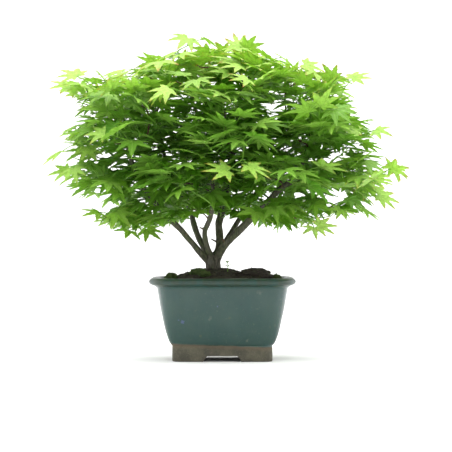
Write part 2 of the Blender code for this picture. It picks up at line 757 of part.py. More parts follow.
class Growth:
    """What has grown so far, to keep new leaves clear of it."""

    def __init__(self):
        self.pieces = []

    def add(self, points, faces):
        centre = sum(points, Vector()) / len(points)
        radius = max((p - centre).length for p in points)
        self.pieces.append((centre, radius, BVHTree.FromPolygons(points, faces)))

    def add_mesh(self, mesh):
        self.add([v.co.copy() for v in mesh.vertices], [tuple(p.vertices) for p in mesh.polygons])

    def room_at(self, place, radius):
        near = (tree for centre, reach, tree in self.pieces if (place - centre).length < reach + radius)
        return all(tree.find_nearest(place, radius)[0] is None for tree in near)

    def is_clear(self, points, faces):
        centre = sum(points, Vector()) / len(points)
        grown = [centre + (p - centre) * 1.03 for p in points]
        lift = UP * 2 * GAP
        radius = max((p - centre).length for p in grown)
        shapes = [BVHTree.FromPolygons([p + shift for p in grown], faces) for shift in (lift, -lift)]
        for place, reach, tree in self.pieces:
            if (place - centre).length < reach + radius:
                if any(shape.overlap(tree) for shape in shapes):
                    return False
        return True


def along_twig(line, share):
    """The place at a share of the twig's length."""
    if share < TWIG_KNEE:
        return line[0].lerp(line[1], share / TWIG_KNEE)
    half = (1 - TWIG_KNEE) / 2
    if share < TWIG_KNEE + half:
        return line[1].lerp(line[2], (share - TWIG_KNEE) / half)
    return line[2].lerp(line[3], (share - TWIG_KNEE - half) / half)


def twig_line(place, out, growth, chance):
    """A twig that starts a gap beyond its branch and bends up a little, to where there is room."""
    start = place + out * GAP
    knee = start + out * TWIG_LENGTH * TWIG_KNEE
    rest = TWIG_LENGTH * (1 - TWIG_KNEE) / 2
    line = []
    for attempt in range(TWIG_TRIES):
        strays = Vector([chance.uniform(-0.05, 0.05) * attempt for _ in range(3)])
        aim = (out + UP * 0.1 + strays).normalized()
        middle = knee + aim * rest
        line = [start, knee, middle, middle + (aim + UP * 0.18).normalized() * rest]
        if all(growth.room_at(along_twig(line, 0.15 + 0.05 * k), TWIG_ROOM) for k in range(18)):
            break
    return line


def grow_leaves(line, out, growth, chance):
    """The leaves of one spray, in opposite pairs, each where nothing has grown yet."""
    leaves = []
    outward = Vector((out.x, out.y, 0)).normalized()
    across = UP.cross(outward)
    for share, spread in LEAF_PAIRS:
        for side in (-1, 1):
            knot = along_twig(line, share - (PAIR_STAGGER / TWIG_LENGTH if side > 0 else 0.0))
            for attempt in range(LEAF_TRIES):
                turn = math.radians(side * (spread + chance.uniform(-14, 14)))
                level = outward * math.cos(turn) + across * math.sin(turn)
                pitch = math.radians(chance.uniform(-12, 34))
                petiole = (level * math.cos(pitch) + UP * math.sin(pitch)) * PETIOLE_LENGTH
                petiole *= chance.uniform(*PETIOLE_SPREAD)
                dip = math.radians(chance.uniform(*LEAF_DROOP))
                heading = level * math.cos(dip) - UP * math.sin(dip)
                face = level * math.sin(dip) + UP * math.cos(dip)
                lean = chance.uniform(-0.25, 0.25)
                face = (face + level.cross(UP) * lean).normalized()
                heading = (heading - face * heading.dot(face)).normalized()
                start = knot + petiole.normalized() * TWIG_RADIUS * 0.4
                length = LEAF_LENGTH * chance.uniform(*LEAF_SPREAD)
                points, faces = leaf_solid(start, petiole, heading, face, length)
                beyond_twig = [p + petiole * PETIOLE_JOINT for p in points[:4]] + points[4:]
                joint = [start + petiole * PETIOLE_JOINT * k / 3 for k in range(4)]
                clear = all(growth.room_at(place, 2 * PETIOLE_RADIUS) for place in joint)
                if clear and growth.is_clear(beyond_twig, faces):
                    growth.add(points, faces)
                    leaves.append((points, faces))
                    break
    return leaves


def make_sprays(places, wood):
    growth = Growth()
    growth.add_mesh(wood.data)
    for number, (place, out) in enumerate(places, start=1):
        chance = random.Random(SEED * 1000 + number)
        name = f"leaf_spray_{number:02d}"
        line = twig_line(place, out, growth, chance)
        radii = [TWIG_RADIUS * (1 - 0.3 * knot / (len(line) - 1)) for knot in range(len(line))]
        twig = tube(name, line, radii, 4, COLLECTION, LEAF)
        pieces = grow_leaves(line, out, growth, chance)
        growth.add_mesh(twig.data)
        points, faces = [], []
        for leaf_points, leaf_faces in pieces:
            faces += [tuple(i + len(points) for i in face) for face in leaf_faces]
            points += leaf_points
        leaves = new_object("leaves", mesh_from("leaves", points, faces), None, "leaf_pieces")
        as_cutter(leaves)
        boolean(twig, "UNION", leaves)
        applied(twig)
        bpy.data.objects.remove(leaves, do_unlink=True)


def main():
    clear_scene()
    make_pot()
    for name, side in (("left", -1), ("right", 1)):
        make_screen(f"drain_screen_{name}", side * DRAIN_SPACING / 2)
        make_screen_wire(f"screen_wire_{name}", side * DRAIN_SPACING / 2)
    make_grit()
    root_space = collection_named("root_space")
    for piece in root_tubes(GAP, "root_space"):
        as_cutter(piece)
    lifted_soil = as_cutter(new_object("lifted_soil", soil_mesh("lifted_soil", GAP), None, "cutters"))
    make_soil(root_space)
    make_ground_cover(lifted_soil, root_space)
    places = spray_places()
    wood = make_wood(*grow_wood(places))
    make_sprays(places, wood)


main()
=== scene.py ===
"""A Japanese maple bonsai in a glazed pot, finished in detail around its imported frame.

Run as a script, it loads the frame, then builds the pot, the ground, the wood and the foliage in
place of the plain solids. Lengths are in metres, +Z is up and the pot's front faces -Y.
"""

import math
import random

import bmesh
import bpy
import numpy as np
from mathutils import Matrix, Vector, noise
from mathutils.bvhtree import BVHTree


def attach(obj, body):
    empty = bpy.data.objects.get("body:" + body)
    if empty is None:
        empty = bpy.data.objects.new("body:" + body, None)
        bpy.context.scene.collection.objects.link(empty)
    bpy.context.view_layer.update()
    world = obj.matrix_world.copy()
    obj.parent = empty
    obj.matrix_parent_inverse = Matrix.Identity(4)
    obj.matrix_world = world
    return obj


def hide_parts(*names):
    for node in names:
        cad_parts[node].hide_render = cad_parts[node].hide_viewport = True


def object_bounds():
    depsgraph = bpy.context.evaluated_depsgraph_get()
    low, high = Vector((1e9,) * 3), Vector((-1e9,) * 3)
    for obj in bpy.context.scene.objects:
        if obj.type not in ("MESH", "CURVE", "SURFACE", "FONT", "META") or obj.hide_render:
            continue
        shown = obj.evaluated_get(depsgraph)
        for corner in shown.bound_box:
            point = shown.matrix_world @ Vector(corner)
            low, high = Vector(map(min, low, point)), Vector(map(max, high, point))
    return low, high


bl_info = {
    "name": "Maple Bonsai",
    "version": (1, 0, 0),
    "blender": (4, 5, 0),
    "location": "3D View > Sidebar > Bonsai",
    "description": "Builds a Japanese maple bonsai in a glazed pot around its packed frame",
    "category": "Add Mesh",
}

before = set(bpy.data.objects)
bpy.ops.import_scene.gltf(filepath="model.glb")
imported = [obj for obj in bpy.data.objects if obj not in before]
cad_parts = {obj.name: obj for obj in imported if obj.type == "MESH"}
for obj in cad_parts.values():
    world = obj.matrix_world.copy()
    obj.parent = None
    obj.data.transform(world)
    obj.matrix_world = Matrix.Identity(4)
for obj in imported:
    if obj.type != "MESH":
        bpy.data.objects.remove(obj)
CAD_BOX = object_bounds()
UP = Vector((0, 0, 1))

# The tree's design, as its plain solids have it: places are from the pot's middle and its rim.
POT_HEIGHT = 0.1155
RIM_LENGTH = 0.203
RIM_DEPTH = 0.158
RIM_CORNER = 0.045
LIP_HEIGHT = 0.0145
LIP_WIDTH = 0.015
LIP_OVERHANG = 0.011
FOOT_INSET = 0.03225
FOOT_HEIGHT = 0.023
FOOT_WALL = 0.011
RECESS_HEIGHT = 0.009
ARCH_LENGTH = 0.054
ARCH_SLOPE = 0.006
ARCH_HEIGHT = 0.008
GLAZE_EDGE = 0.0008
BELLY = 0.6
WALL = 0.007
FLOOR_TOP = 0.017
DRAIN_RADIUS = 0.009
SOIL_EDGE = POT_HEIGHT - 0.007
SOIL_HALF_LENGTH = RIM_LENGTH / 2 - LIP_WIDTH
SOIL_HALF_DEPTH = RIM_DEPTH / 2 - LIP_WIDTH
MOUND_HEIGHT = 0.019
BODY_TOP = POT_HEIGHT - LIP_HEIGHT
NECK_HALF = RIM_LENGTH / 2 - LIP_OVERHANG
FOOT_HALF = RIM_LENGTH / 2 - FOOT_INSET
DRAIN_SPACING = 0.55 * 2 * FOOT_HALF
TRUNK = (
    # x, y, height above the rim, radius
    (-0.013, 0.0, -0.0315, 0.0085),
    (-0.013, 0.0, -0.0095, 0.0125),
    (-0.013, 0.0, 0.0045, 0.0120),
    (-0.0133, 0.0, 0.0145, 0.0104),
    (-0.0138, 0.0, 0.0235, 0.0108),
    (-0.0140, 0.0, 0.0285, 0.0085),
    (-0.0138, 0.0, 0.0315, 0.0045),
)
ROOT_HEIGHT = -0.0035
ROOT_REACH = 0.040
ROOT_DROP = 0.015
ROOT_RADIUS = 0.0062
ROOT_HEADINGS = (20.0, 95.0, 165.0, 235.0, 305.0)
LIMBS = (
    ((-0.018, -0.002, 0.0205), (-0.026, -0.004, 0.0285), (-0.040, -0.008, 0.0455), (-0.055, -0.014, 0.0635),
     (-0.075, -0.022, 0.0835), (-0.098, -0.034, 0.1105), (-0.118, -0.044, 0.1425), (-0.132, -0.046, 0.1845)),
    ((-0.016, 0.002, 0.0245), (-0.026, 0.006, 0.0415), (-0.036, 0.012, 0.0605), (-0.041, 0.018, 0.0755),
     (-0.048, 0.028, 0.0995), (-0.064, 0.042, 0.1305), (-0.082, 0.054, 0.1685), (-0.090, 0.058, 0.2145)),
    ((-0.014, -0.003, 0.0265), (-0.021, -0.006, 0.0415), (-0.0245, -0.010, 0.0615), (-0.019, -0.016, 0.0785),
     (-0.014, -0.026, 0.0975), (-0.014, -0.040, 0.1295), (-0.022, -0.050, 0.1695), (-0.034, -0.048, 0.2145),
     (-0.042, -0.030, 0.2595)),
    ((-0.011, 0.003, 0.0265), (-0.005, 0.007, 0.0375), (-0.004, 0.012, 0.0545), (-0.005, 0.020, 0.0725),
     (-0.001, 0.032, 0.0945), (0.006, 0.044, 0.1295), (0.014, 0.056, 0.1745), (0.022, 0.054, 0.2195),
     (0.026, 0.036, 0.2645)),
    ((-0.009, -0.001, 0.0245), (0.001, -0.002, 0.0415), (0.0095, -0.004, 0.0515), (0.0265, -0.008, 0.0685),
     (0.043, -0.013, 0.0855), (0.057, -0.020, 0.1005), (0.082, -0.030, 0.1245), (0.108, -0.038, 0.1525),
     (0.122, -0.040, 0.1945)),
    ((-0.010, 0.004, 0.0285), (0.003, 0.015, 0.0475), (0.020, 0.034, 0.0745), (0.042, 0.056, 0.1095),
     (0.066, 0.072, 0.1465), (0.084, 0.078, 0.1895)),
)
STUBS = (
    ((-0.005, 0.010, 0.0475), (-0.016, -0.002, 0.0535)),
    ((-0.023, -0.008, 0.0665), (-0.032, -0.014, 0.0695)),
    ((0.004, -0.003, 0.0445), (0.000, -0.010, 0.0545)),
    ((-0.051, -0.013, 0.0595), (-0.049, -0.022, 0.0605)),
)
STUB_RADIUS = 0.0014
LIMB_STEP = 0.015
TIP_RADIUS = 0.0011
GIRTH = 0.74
LEAST_LOAD = 0.6
LOWEST_BRANCHING = 0.0695
BRANCH_STEPS = 5
NECK_OF_TWIG = 0.003
BUD_KNOTS = 3
CANOPY = (
    # height above the rim, left, right, half depth, sprays, rise of the twigs
    (0.0885, -0.190, 0.195, 0.150, 6, -0.10),
    (0.1365, -0.225, 0.254, 0.185, 8, 0.00),
    (0.1875, -0.244, 0.243, 0.198, 8, 0.10),
    (0.2365, -0.244, 0.214, 0.190, 7, 0.25),
    (0.2785, -0.205, 0.195, 0.150, 6, 0.45),
    (0.3025, -0.135, 0.120, 0.085, 3, 1.10),
)
CANOPY_BACK = 0.006
SPRAY_REACH = 0.092
SEED = 7
BRANCH_BOW = 0.35
BUD_ROOM = 0.012
# How far the leaf tips within the crown reach, seen from the front: x and height above the rim.
CROWN_OUTLINE = (
    (-0.120, 0.056), (-0.186, 0.068), (-0.202, 0.098), (-0.232, 0.122), (-0.240, 0.165), (-0.232, 0.200),
    (-0.212, 0.212), (-0.214, 0.246), (-0.236, 0.260), (-0.232, 0.276), (-0.160, 0.286), (-0.095, 0.300),
    (-0.066, 0.320), (0.040, 0.322), (0.076, 0.304), (0.122, 0.296), (0.166, 0.284), (0.194, 0.272),
    (0.188, 0.238), (0.222, 0.222), (0.224, 0.184), (0.240, 0.162), (0.250, 0.145), (0.238, 0.116),
    (0.216, 0.090), (0.156, 0.076), (0.112, 0.060), (0.060, 0.060), (0.030, 0.074), (-0.020, 0.086),
    (-0.066, 0.070),
)
CROWN_MIDDLE = 0.18  # height above the rim
CROWN_HALF_LENGTH = 0.22
CROWN_HALF_HEIGHT = 0.15
TIP_ROOM = 0.010  # how far a leaf's tip may reach past the plain solids
LEADER_ROOM = 0.024  # how far the longest shoots' leaves reach beyond the others
# Where this year's longest shoots end: x, y and height above the rim.
LEADERS = (
    (-0.048, -0.020, 0.322), (-0.010, -0.030, 0.312), (0.026, -0.012, 0.316), (0.062, -0.034, 0.298),
    (0.100, -0.020, 0.286), (-0.086, -0.020, 0.292), (-0.126, -0.030, 0.276), (-0.165, -0.020, 0.270),
    (-0.204, -0.030, 0.266), (0.138, -0.020, 0.276), (0.168, -0.030, 0.262), (-0.202, -0.020, 0.186),
    (-0.196, -0.040, 0.146), (0.226, -0.030, 0.146), (0.200, -0.020, 0.200), (0.196, 0.010, 0.110),
    (0.166, -0.050, 0.094), (0.124, -0.060, 0.074), (-0.158, -0.050, 0.088), (-0.114, -0.030, 0.068),
    (-0.074, -0.020, 0.070), (-0.184, -0.060, 0.268),
    (0.075, -0.050, 0.062), (-0.060, -0.166, 0.250), (0.026, -0.172, 0.158), (-0.140, -0.130, 0.190),
    (0.040, -0.150, 0.262), (0.128, -0.140, 0.216), (0.020, 0.090, 0.314), (-0.070, 0.080, 0.306),
    (0.100, 0.120, 0.272), (-0.150, 0.110, 0.250), (0.000, 0.180, 0.220), (0.140, 0.140, 0.150),
)
LOOKED_AT = Vector((0.005, 0.0, 0.187))  # the middle of the view
EYE_DISTANCE = 2.6
EYE_ELEVATION = math.radians(0.1)
LIGHTS = (
    # name, place, what it points at, width and power
    ("light_above", (0.0, -0.3, 2.3), (0.0, 0.0, 0.2), 3.4, 112.0),
    ("light_backdrop", (0.0, 1.6, 3.4), (0.0, 3.8, 0.9), 3.0, 90.0),
    ("light_front", (-1.4, -2.4, 1.4), (0.0, 0.0, 0.2), 1.6, 8.0),
    ("light_left", (-1.9, 0.7, 0.9), (0.0, 0.0, 0.25), 2.4, 27.0),
    ("light_right", (1.9, 0.7, 0.9), (0.0, 0.0, 0.25), 2.4, 31.0),
)
STAGE_REACH = 9.0
BACKDROP_BEND = 1.0
BACKDROP_PLACE = 3.8
BACKDROP_TOP = 7.0
STAGE_THICKNESS = 0.1
BEND_STEPS = 24


# ---------------------------------------------------------------- settings

def colour(name, description, value):
    """A setting for a colour. Those below it are for a length, a share from 0 to 1 and a number."""
    return bpy.props.FloatVectorProperty(name=name, description=description, subtype="COLOR",
                                         size=3, min=0.0, max=1.0, default=value)


def length(name, description, value):
    return bpy.props.FloatProperty(name=name, description=description, default=value, unit="LENGTH",
                                   subtype="DISTANCE", min=0.0)


def share(name, description, value):
    return bpy.props.FloatProperty(name=name, description=description, default=value, min=0.0, max=1.0)


def number(name, description, value):
    return bpy.props.IntProperty(name=name, description=description, default=value, min=0)


class BonsaiPotSettings(bpy.types.PropertyGroup):
    glaze: colour("Glaze", "The glaze where it lies thick", (0.009, 0.047, 0.040))
    glaze_thin: colour("Thin glaze", "The glaze where it thins over edges", (0.068, 0.104, 0.074))
    glaze_lip: colour("Lip glaze", "The glaze on the rolled lip", (0.018, 0.037, 0.023))
    glaze_bloom: colour("Bloom", "Blue spots in the glaze", (0.070, 0.150, 0.190))
    clay: colour("Clay", "The bare fired clay of the foot", (0.108, 0.102, 0.068))
    clay_red: colour("Flashed clay", "The redder clay just below the glaze", (0.128, 0.096, 0.063))
    clay_dark: colour("Dark clay", "Stains on the bare clay", (0.060, 0.056, 0.040))
    gloss: share("Gloss", "Roughness of the glaze", 0.17)
    waviness: length("Waviness", "How far the wall strays from a true curve", 0.00035)


class BonsaiGroundSettings(bpy.types.PropertyGroup):
    soil: colour("Soil", "Damp soil", (0.030, 0.024, 0.017))
    soil_dry: colour("Dry soil", "Dry crumbs of soil", (0.115, 0.095, 0.070))
    moss: colour("Moss", "Living moss", (0.038, 0.072, 0.012))
    moss_dry: colour("Dry moss", "Dry moss and its tips", (0.110, 0.150, 0.040))
    seedling: colour("Seedling", "The weed seedling", (0.200, 0.380, 0.060))
    crumbs: number("Crumbs", "Crumbs of soil on the mound", 1500)
    crumb_size: length("Crumb size", "Size of a middling crumb", 0.0019)
    moss_shoots: number("Moss shoots", "Shoots in each cushion", 420)
    moss_height: length("Moss height", "Height of a moss shoot", 0.0021)


class BonsaiWoodSettings(bpy.types.PropertyGroup):
    bark: colour("Bark", "Old bark", (0.110, 0.100, 0.072))
    bark_dark: colour("Dark bark", "Furrows and damp bark", (0.028, 0.026, 0.018))
    bark_green: colour("Green bark", "The green tinge of younger limbs", (0.085, 0.105, 0.040))
    twig: colour("Twig", "Young red-brown twigs", (0.095, 0.040, 0.022))
    furrow: length("Furrow", "Depth of the bark's furrows", 0.0006)
    trunk_grain: length("Trunk grain", "Mesh size of the trunk and its fork", 0.0008)


class BonsaiFoliageSettings(bpy.types.PropertyGroup):
    # Between these two colours the leaves get painted light and shade: the first on the outside of the crown
    # and on top, the second within it, partly by age.
    young_and_lit: colour("Young leaf", "Sunlit new leaves", (0.575, 0.810, 0.190))
    mature: colour("Mature leaf", "Leaves within the crown", (0.108, 0.325, 0.018))
    underside: colour("Underside", "The back of a leaf", (0.220, 0.430, 0.085))
    vein: colour("Vein", "Midribs and side veins", (0.420, 0.600, 0.170))
    blush: colour("Blush", "The red on tips and margins", (0.560, 0.150, 0.045))
    petiole: colour("Petiole", "Leaf stalks", (0.165, 0.040, 0.022))
    leaf_length: length("Leaf length", "The middle lobe of a middling leaf", 0.040)
    petiole_length: length("Petiole length", "A middling leaf stalk", 0.021)
    thickness: length("Leaf thickness", "Thickness at the foot of a leaf", 0.0004)
    droop: share("Droop", "How far the lobes hang", 0.13)
    side_twigs: number("Side twigs", "Side twigs on each spray", 7)


class BonsaiStudioSettings(bpy.types.PropertyGroup):
    floor: colour("Floor", "The pale floor and backdrop", (0.88, 0.88, 0.88))
    distance: length("Camera distance", "From the middle of the plant", EYE_DISTANCE)
    elevation: bpy.props.FloatProperty(name="Camera elevation", description="How far the camera looks down",
                                       default=EYE_ELEVATION, subtype="ANGLE")
    view_width: length("View width", "Width of the view at the plant", 0.633)


# ---------------------------------------------------------------- materials

GLAZE_SLANT = 0.036  # how much the glaze's lower edge falls from left to right
VIOLET = (0.070, 0.100, 0.250)
DARK_SPECK = (0.012, 0.022, 0.030)
BUFF = (0.080, 0.108, 0.084)
OLIVE = (0.046, 0.072, 0.040)
GLAZE_SPOTS = (
    # x, height, radius and colour of the blemishes on the front
    (-0.0545, 0.0557, 0.0032, VIOLET), (-0.0062, 0.0770, 0.0017, VIOLET),
    (-0.0600, 0.0580, 0.0014, VIOLET), (0.0260, 0.0797, 0.0012, DARK_SPECK),
    (-0.0750, 0.0706, 0.0012, DARK_SPECK), (0.0480, 0.0660, 0.0009, DARK_SPECK),
    (-0.0165, 0.0607, 0.0036, BUFF), (0.0340, 0.0295, 0.0030, BUFF), (0.0510, 0.0960, 0.0042, BUFF),
    (0.0100, 0.0614, 0.0024, OLIVE), (-0.0300, 0.0360, 0.0026, OLIVE), (0.0660, 0.0480, 0.0030, OLIVE),
)
SPOT_STRAY = 1.1  # how ragged a blemish is, as a share of its radius


class Finish:
    """A new material and its nodes. Every value given may be a number, a colour or a socket."""

    def __init__(self, name, roughness=0.5):
        self.made = bpy.data.materials.new(name)
        self.made.use_nodes = True
        self.shader = self.made.node_tree.nodes["Principled BSDF"]
        self.shader.inputs["Roughness"].default_value = roughness
        self.place = self.node("ShaderNodeTexCoord").outputs["Object"]

    def fill(self, socket, value):
        if isinstance(value, bpy.types.NodeSocket):
            self.made.node_tree.links.new(value, socket)
        else:
            socket.default_value = (*value, 1.0) if socket.type == "RGBA" else value

    def node(self, kind, inputs=(), **options):
        """A node with its options, and with its inputs by name or number."""
        node = self.made.node_tree.nodes.new(kind)
        for key, value in options.items():
            setattr(node, key, value)
        for key, value in dict(inputs).items():
            self.fill(node.inputs[key], value)
        return node

    def mix(self, amount, first, second):
        return self.node("ShaderNodeMix", {0: amount, 6: first, 7: second}, data_type="RGBA").outputs[2]

    def maths(self, operation, *values):
        return self.node("ShaderNodeMath", enumerate(values), operation=operation).outputs[0]

    def times(self, first, second):
        return self.maths("MULTIPLY", first, second)

    def ramp(self, source, low, high, most=1.0):
        """From 0 at low to the most at high, and level beyond them. Low may be the larger."""
        inputs = {"Value": source, "From Min": low, "From Max": high}
        risen = self.node("ShaderNodeMapRange", inputs, interpolation_type="SMOOTHSTEP").outputs["Result"]
        return risen if most == 1.0 else self.times(risen, most)

    def noise(self, scale, detail=3.0, roughness=0.5, place=None, output="Fac"):
        inputs = {"Vector": self.place if place is None else place, "Scale": scale, "Detail": detail,
                  "Roughness": roughness}
        return self.node("ShaderNodeTexNoise", inputs).outputs[output]

    def drawn_out(self, share):
        """The place, with heights at a share of their size, to draw a pattern out upright."""
        inputs = {"Vector": self.place, "Scale": (1.0, 1.0, share)}
        return self.node("ShaderNodeMapping", inputs).outputs["Vector"]

    def mark(self, name, output="Fac"):
        """What the mesh keeps for every point under a name."""
        return self.node("ShaderNodeAttribute", attribute_name=name).outputs[output]

    def parts(self, vector):
        return self.node("ShaderNodeSeparateXYZ", {0: vector}).outputs

    def done(self, colour, relief=None, strength=0.0, distance=0.0):
        """The material, with its colour and the relief of its surface."""
        self.fill(self.shader.inputs["Base Color"], colour)
        if relief is not None:
            inputs = {"Height": relief, "Strength": strength, "Distance": distance}
            self.fill(self.shader.inputs["Normal"], self.node("ShaderNodeBump", inputs).outputs["Normal"])
        return self.made


def halfway(first, second):
    return [0.5 * (a + b) for a, b in zip(first, second)]


def glaze_material(pot):
    """A glossy pooled glaze down to a wavy line above the foot, and bare clay below it."""
    nodes = Finish("celadon_glaze_over_clay")
    along, _, height = nodes.parts(nodes.place)
    broad, fine = nodes.noise(26.0, 4.0, 0.6), nodes.noise(260.0, roughness=0.6)
    runs = nodes.noise(95.0, roughness=0.55, place=nodes.drawn_out(0.16))
    body = nodes.mix(0.16, pot.glaze, nodes.mix(nodes.ramp(broad, 0.35, 0.7), pot.glaze, pot.glaze_thin))
    body = nodes.mix(nodes.ramp(fine, 0.60, 0.74, 0.35), body, pot.glaze_thin)
    body = nodes.mix(nodes.ramp(runs, 0.45, 0.8, 0.3), body, (0.018, 0.062, 0.058))
    cells = nodes.node("ShaderNodeTexVoronoi", {"Vector": nodes.place, "Scale": 46.0}).outputs["Distance"]
    bloom = nodes.times(nodes.ramp(cells, 0.15, 0.04), nodes.ramp(nodes.noise(17.0, 1.0), 0.60, 0.66))
    body = nodes.mix(nodes.times(bloom, 0.75), body, pot.glaze_bloom)
    ragged = nodes.noise(330.0, output="Color")
    for x, z, radius, tint in GLAZE_SPOTS:
        share = (z - FOOT_HEIGHT) / (BODY_TOP - FOOT_HEIGHT)
        y = -(body_half(share) - (RIM_LENGTH - RIM_DEPTH) / 2)
        stray = SPOT_STRAY * radius
        inputs = {0: ragged, 1: (2 * stray,) * 3, 2: nodes.place}
        strayed = nodes.node("ShaderNodeVectorMath", inputs, operation="MULTIPLY_ADD").outputs[0]
        inputs = {0: strayed, 1: (x + stray, y + stray, z + stray)}
        away = nodes.node("ShaderNodeVectorMath", inputs, operation="DISTANCE").outputs["Value"]
        body = nodes.mix(nodes.ramp(away, radius, radius * 0.35, 0.55), body, tint)
    lip = nodes.ramp(height, BODY_TOP + 0.001, BODY_TOP + 0.0045)
    body = nodes.mix(lip, body, nodes.mix(nodes.ramp(runs, 0.4, 0.75), pot.glaze_lip, pot.glaze))
    crest = nodes.ramp(height, POT_HEIGHT - 0.0035, POT_HEIGHT - 0.0004, 0.45)
    body = nodes.mix(crest, body, pot.glaze_thin)
    edge = nodes.maths("MULTIPLY_ADD", nodes.noise(45.0), 0.0032, FOOT_HEIGHT - 0.0026)
    above = nodes.maths("SUBTRACT", height, nodes.maths("MULTIPLY_ADD", along, -GLAZE_SLANT, edge))
    glazed = nodes.ramp(above, -0.00015, 0.00015)
    clay = nodes.mix(nodes.ramp(nodes.noise(70.0, 5.0, 0.65), 0.35, 0.7), pot.clay_dark, pot.clay)
    clay = nodes.mix(nodes.ramp(nodes.noise(900.0, 2.0), 0.58, 0.70, 0.4), clay, (0.22, 0.20, 0.16))
    clay = nodes.mix(nodes.ramp(above, -0.0070, -0.0004, 0.6), clay, pot.clay_red)
    body = nodes.mix(nodes.ramp(above, 0.0022, 0.0002, 0.55), body, (0.082, 0.090, 0.062))
    gloss = nodes.maths("MULTIPLY_ADD", fine, 0.12, pot.gloss - 0.04)
    gloss = nodes.maths("MULTIPLY_ADD", lip, 0.22, gloss)
    gloss = nodes.node("ShaderNodeMix", {0: glazed, 2: 0.85, 3: gloss}, data_type="FLOAT").outputs[0]
    nodes.fill(nodes.shader.inputs["Roughness"], gloss)
    pits = nodes.ramp(nodes.noise(420.0, 1.0), 0.70, 0.62, 0.5)
    relief = nodes.maths("ADD", nodes.maths("ADD", pits, nodes.times(broad, 1.6)), nodes.times(glazed, 0.8))
    return nodes.done(nodes.mix(glazed, clay, body), relief, 0.22, 0.0006)


def soil_material(name, ground, dryness):
    """Damp soil with dry patches, dry crumbs and pale grit."""
    nodes = Finish(name, 0.92)
    patches = nodes.ramp(nodes.noise(120.0, 4.0, 0.7), 0.42, 0.72, dryness)
    base = nodes.mix(patches, ground.soil, ground.soil_dry)
    base = nodes.mix(nodes.mark("tone"), base, ground.soil_dry)
    base = nodes.mix(nodes.ramp(nodes.noise(1400.0, 2.0), 0.55, 0.7, 0.25), base, (0.20, 0.17, 0.13))
    return nodes.done(base, nodes.noise(900.0, 5.0, 0.7), 0.7, 0.0008)


def moss_material(name, low, high):
    """Dark green at the foot of each shoot and dry at its tip."""
    nodes = Finish(name, 0.85)
    green = nodes.mix(nodes.ramp(nodes.noise(160.0), 0.4, 0.65, 0.6), low, high)
    green = nodes.mix(nodes.times(nodes.mark("tone"), 0.65), green, high)
    return nodes.done(green, nodes.noise(1500.0), 0.5, 0.0004)


def bark_material(wood):
    """Furrowed grey-brown bark on the trunk, greener limbs and red-brown twigs."""
    nodes = Finish("maple_bark", 0.82)
    girth = nodes.mark("girth")
    furrows = nodes.noise(420.0, 5.0, 0.65, nodes.drawn_out(0.28))
    patches = nodes.noise(85.0, 4.0, 0.6)
    old = nodes.mix(nodes.ramp(furrows, 0.62, 0.38), wood.bark, wood.bark_dark)
    old = nodes.mix(nodes.ramp(patches, 0.5, 0.66, 0.5), old, (0.165, 0.165, 0.130))
    limb = nodes.mix(nodes.ramp(patches, 0.35, 0.65), wood.bark_green, wood.bark)
    limb = nodes.mix(nodes.ramp(furrows, 0.6, 0.4, 0.6), limb, wood.bark_dark)
    thin = nodes.mix(nodes.ramp(patches, 0.4, 0.7), wood.twig, wood.bark_green)
    grown = nodes.mix(nodes.ramp(girth, 0.10, 0.26), thin, limb)
    return nodes.done(nodes.mix(nodes.ramp(girth, 0.38, 0.8), grown, old), furrows, 0.65, 0.0012)


def leaf_material(name, leaf, underside):
    """A leaf by its own marks: lobe holds place along, beside and out, nature holds age with painted light
    and shade, then tone and blush.
    """
    nodes = Finish(name, 0.62 if underside else 0.46)
    along, beside, out = nodes.parts(nodes.mark("lobe", "Vector"))
    youth_and_light, tone, blush = nodes.parts(nodes.mark("nature", "Vector"))
    dark = [part * 0.62 for part in leaf.mature]
    # Painted light and shade: the mark mixes the dark colour on inner leaves into the light colour on outer
    # and top ones, as well as by age.
    blade = nodes.mix(youth_and_light, leaf.mature, leaf.young_and_lit)
    blade = nodes.mix(nodes.ramp(nodes.noise(240.0, roughness=0.6), 0.58, 0.40, 0.30), blade, dark)
    blade = nodes.mix(nodes.times(tone, 0.55), blade, dark)
    slant = nodes.maths("MULTIPLY_ADD", beside, -0.85, along)
    waves = nodes.maths("SINE", nodes.times(slant, 92.0))
    midrib, side_veins = nodes.ramp(beside, 0.020, 0.006, 0.75), nodes.ramp(waves, 0.80, 0.97, 0.42)
    veins = nodes.maths("MAXIMUM", midrib, side_veins)
    clear = nodes.times(veins, nodes.maths("MULTIPLY_ADD", youth_and_light, 0.35, 0.40))
    blade = nodes.mix(clear, blade, halfway(leaf.vein, leaf.young_and_lit))
    red = nodes.maths("MAXIMUM", nodes.ramp(out, 0.90, 1.0, 0.55), nodes.ramp(along, 0.62, 1.0, 0.9))
    blade = nodes.mix(nodes.times(red, blush), blade, leaf.blush)
    if underside:
        blade = nodes.mix(0.55, blade, leaf.underside)
    nodes.shader.inputs["Specular IOR Level"].default_value = 0.22
    glow = nodes.node("ShaderNodeBsdfTranslucent", {"Color": nodes.mix(0.5, blade, leaf.young_and_lit)})
    blend = nodes.node("ShaderNodeMixShader", {0: 0.5, 1: nodes.shader.outputs[0], 2: glow.outputs[0]})
    nodes.fill(nodes.made.node_tree.nodes["Material Output"].inputs["Surface"], blend.outputs[0])
    return nodes.done(blade, nodes.times(veins, -1.0 if underside else 1.0), 0.35, 0.0004)


def stalk_material(leaf):
    """Red-brown leaf stalks with green patches."""
    nodes = Finish("leaf_stalk", 0.5)
    patches = nodes.ramp(nodes.noise(60.0, 2.0), 0.48, 0.66, 0.7)
    stalk = nodes.mix(patches, leaf.petiole, halfway(leaf.mature, leaf.young_and_lit))
    return nodes.done(stalk, nodes.noise(700.0, 2.0), 0.3, 0.0003)


def twig_material(leaf):
    """Dark young bark with red-brown patches."""
    nodes = Finish("young_twig_bark", 0.6)
    patches = nodes.ramp(nodes.noise(90.0), 0.45, 0.68)
    bark = nodes.mix(patches, [part * 0.35 for part in leaf.petiole], leaf.petiole)
    return nodes.done(bark, nodes.noise(600.0), 0.4, 0.0004)


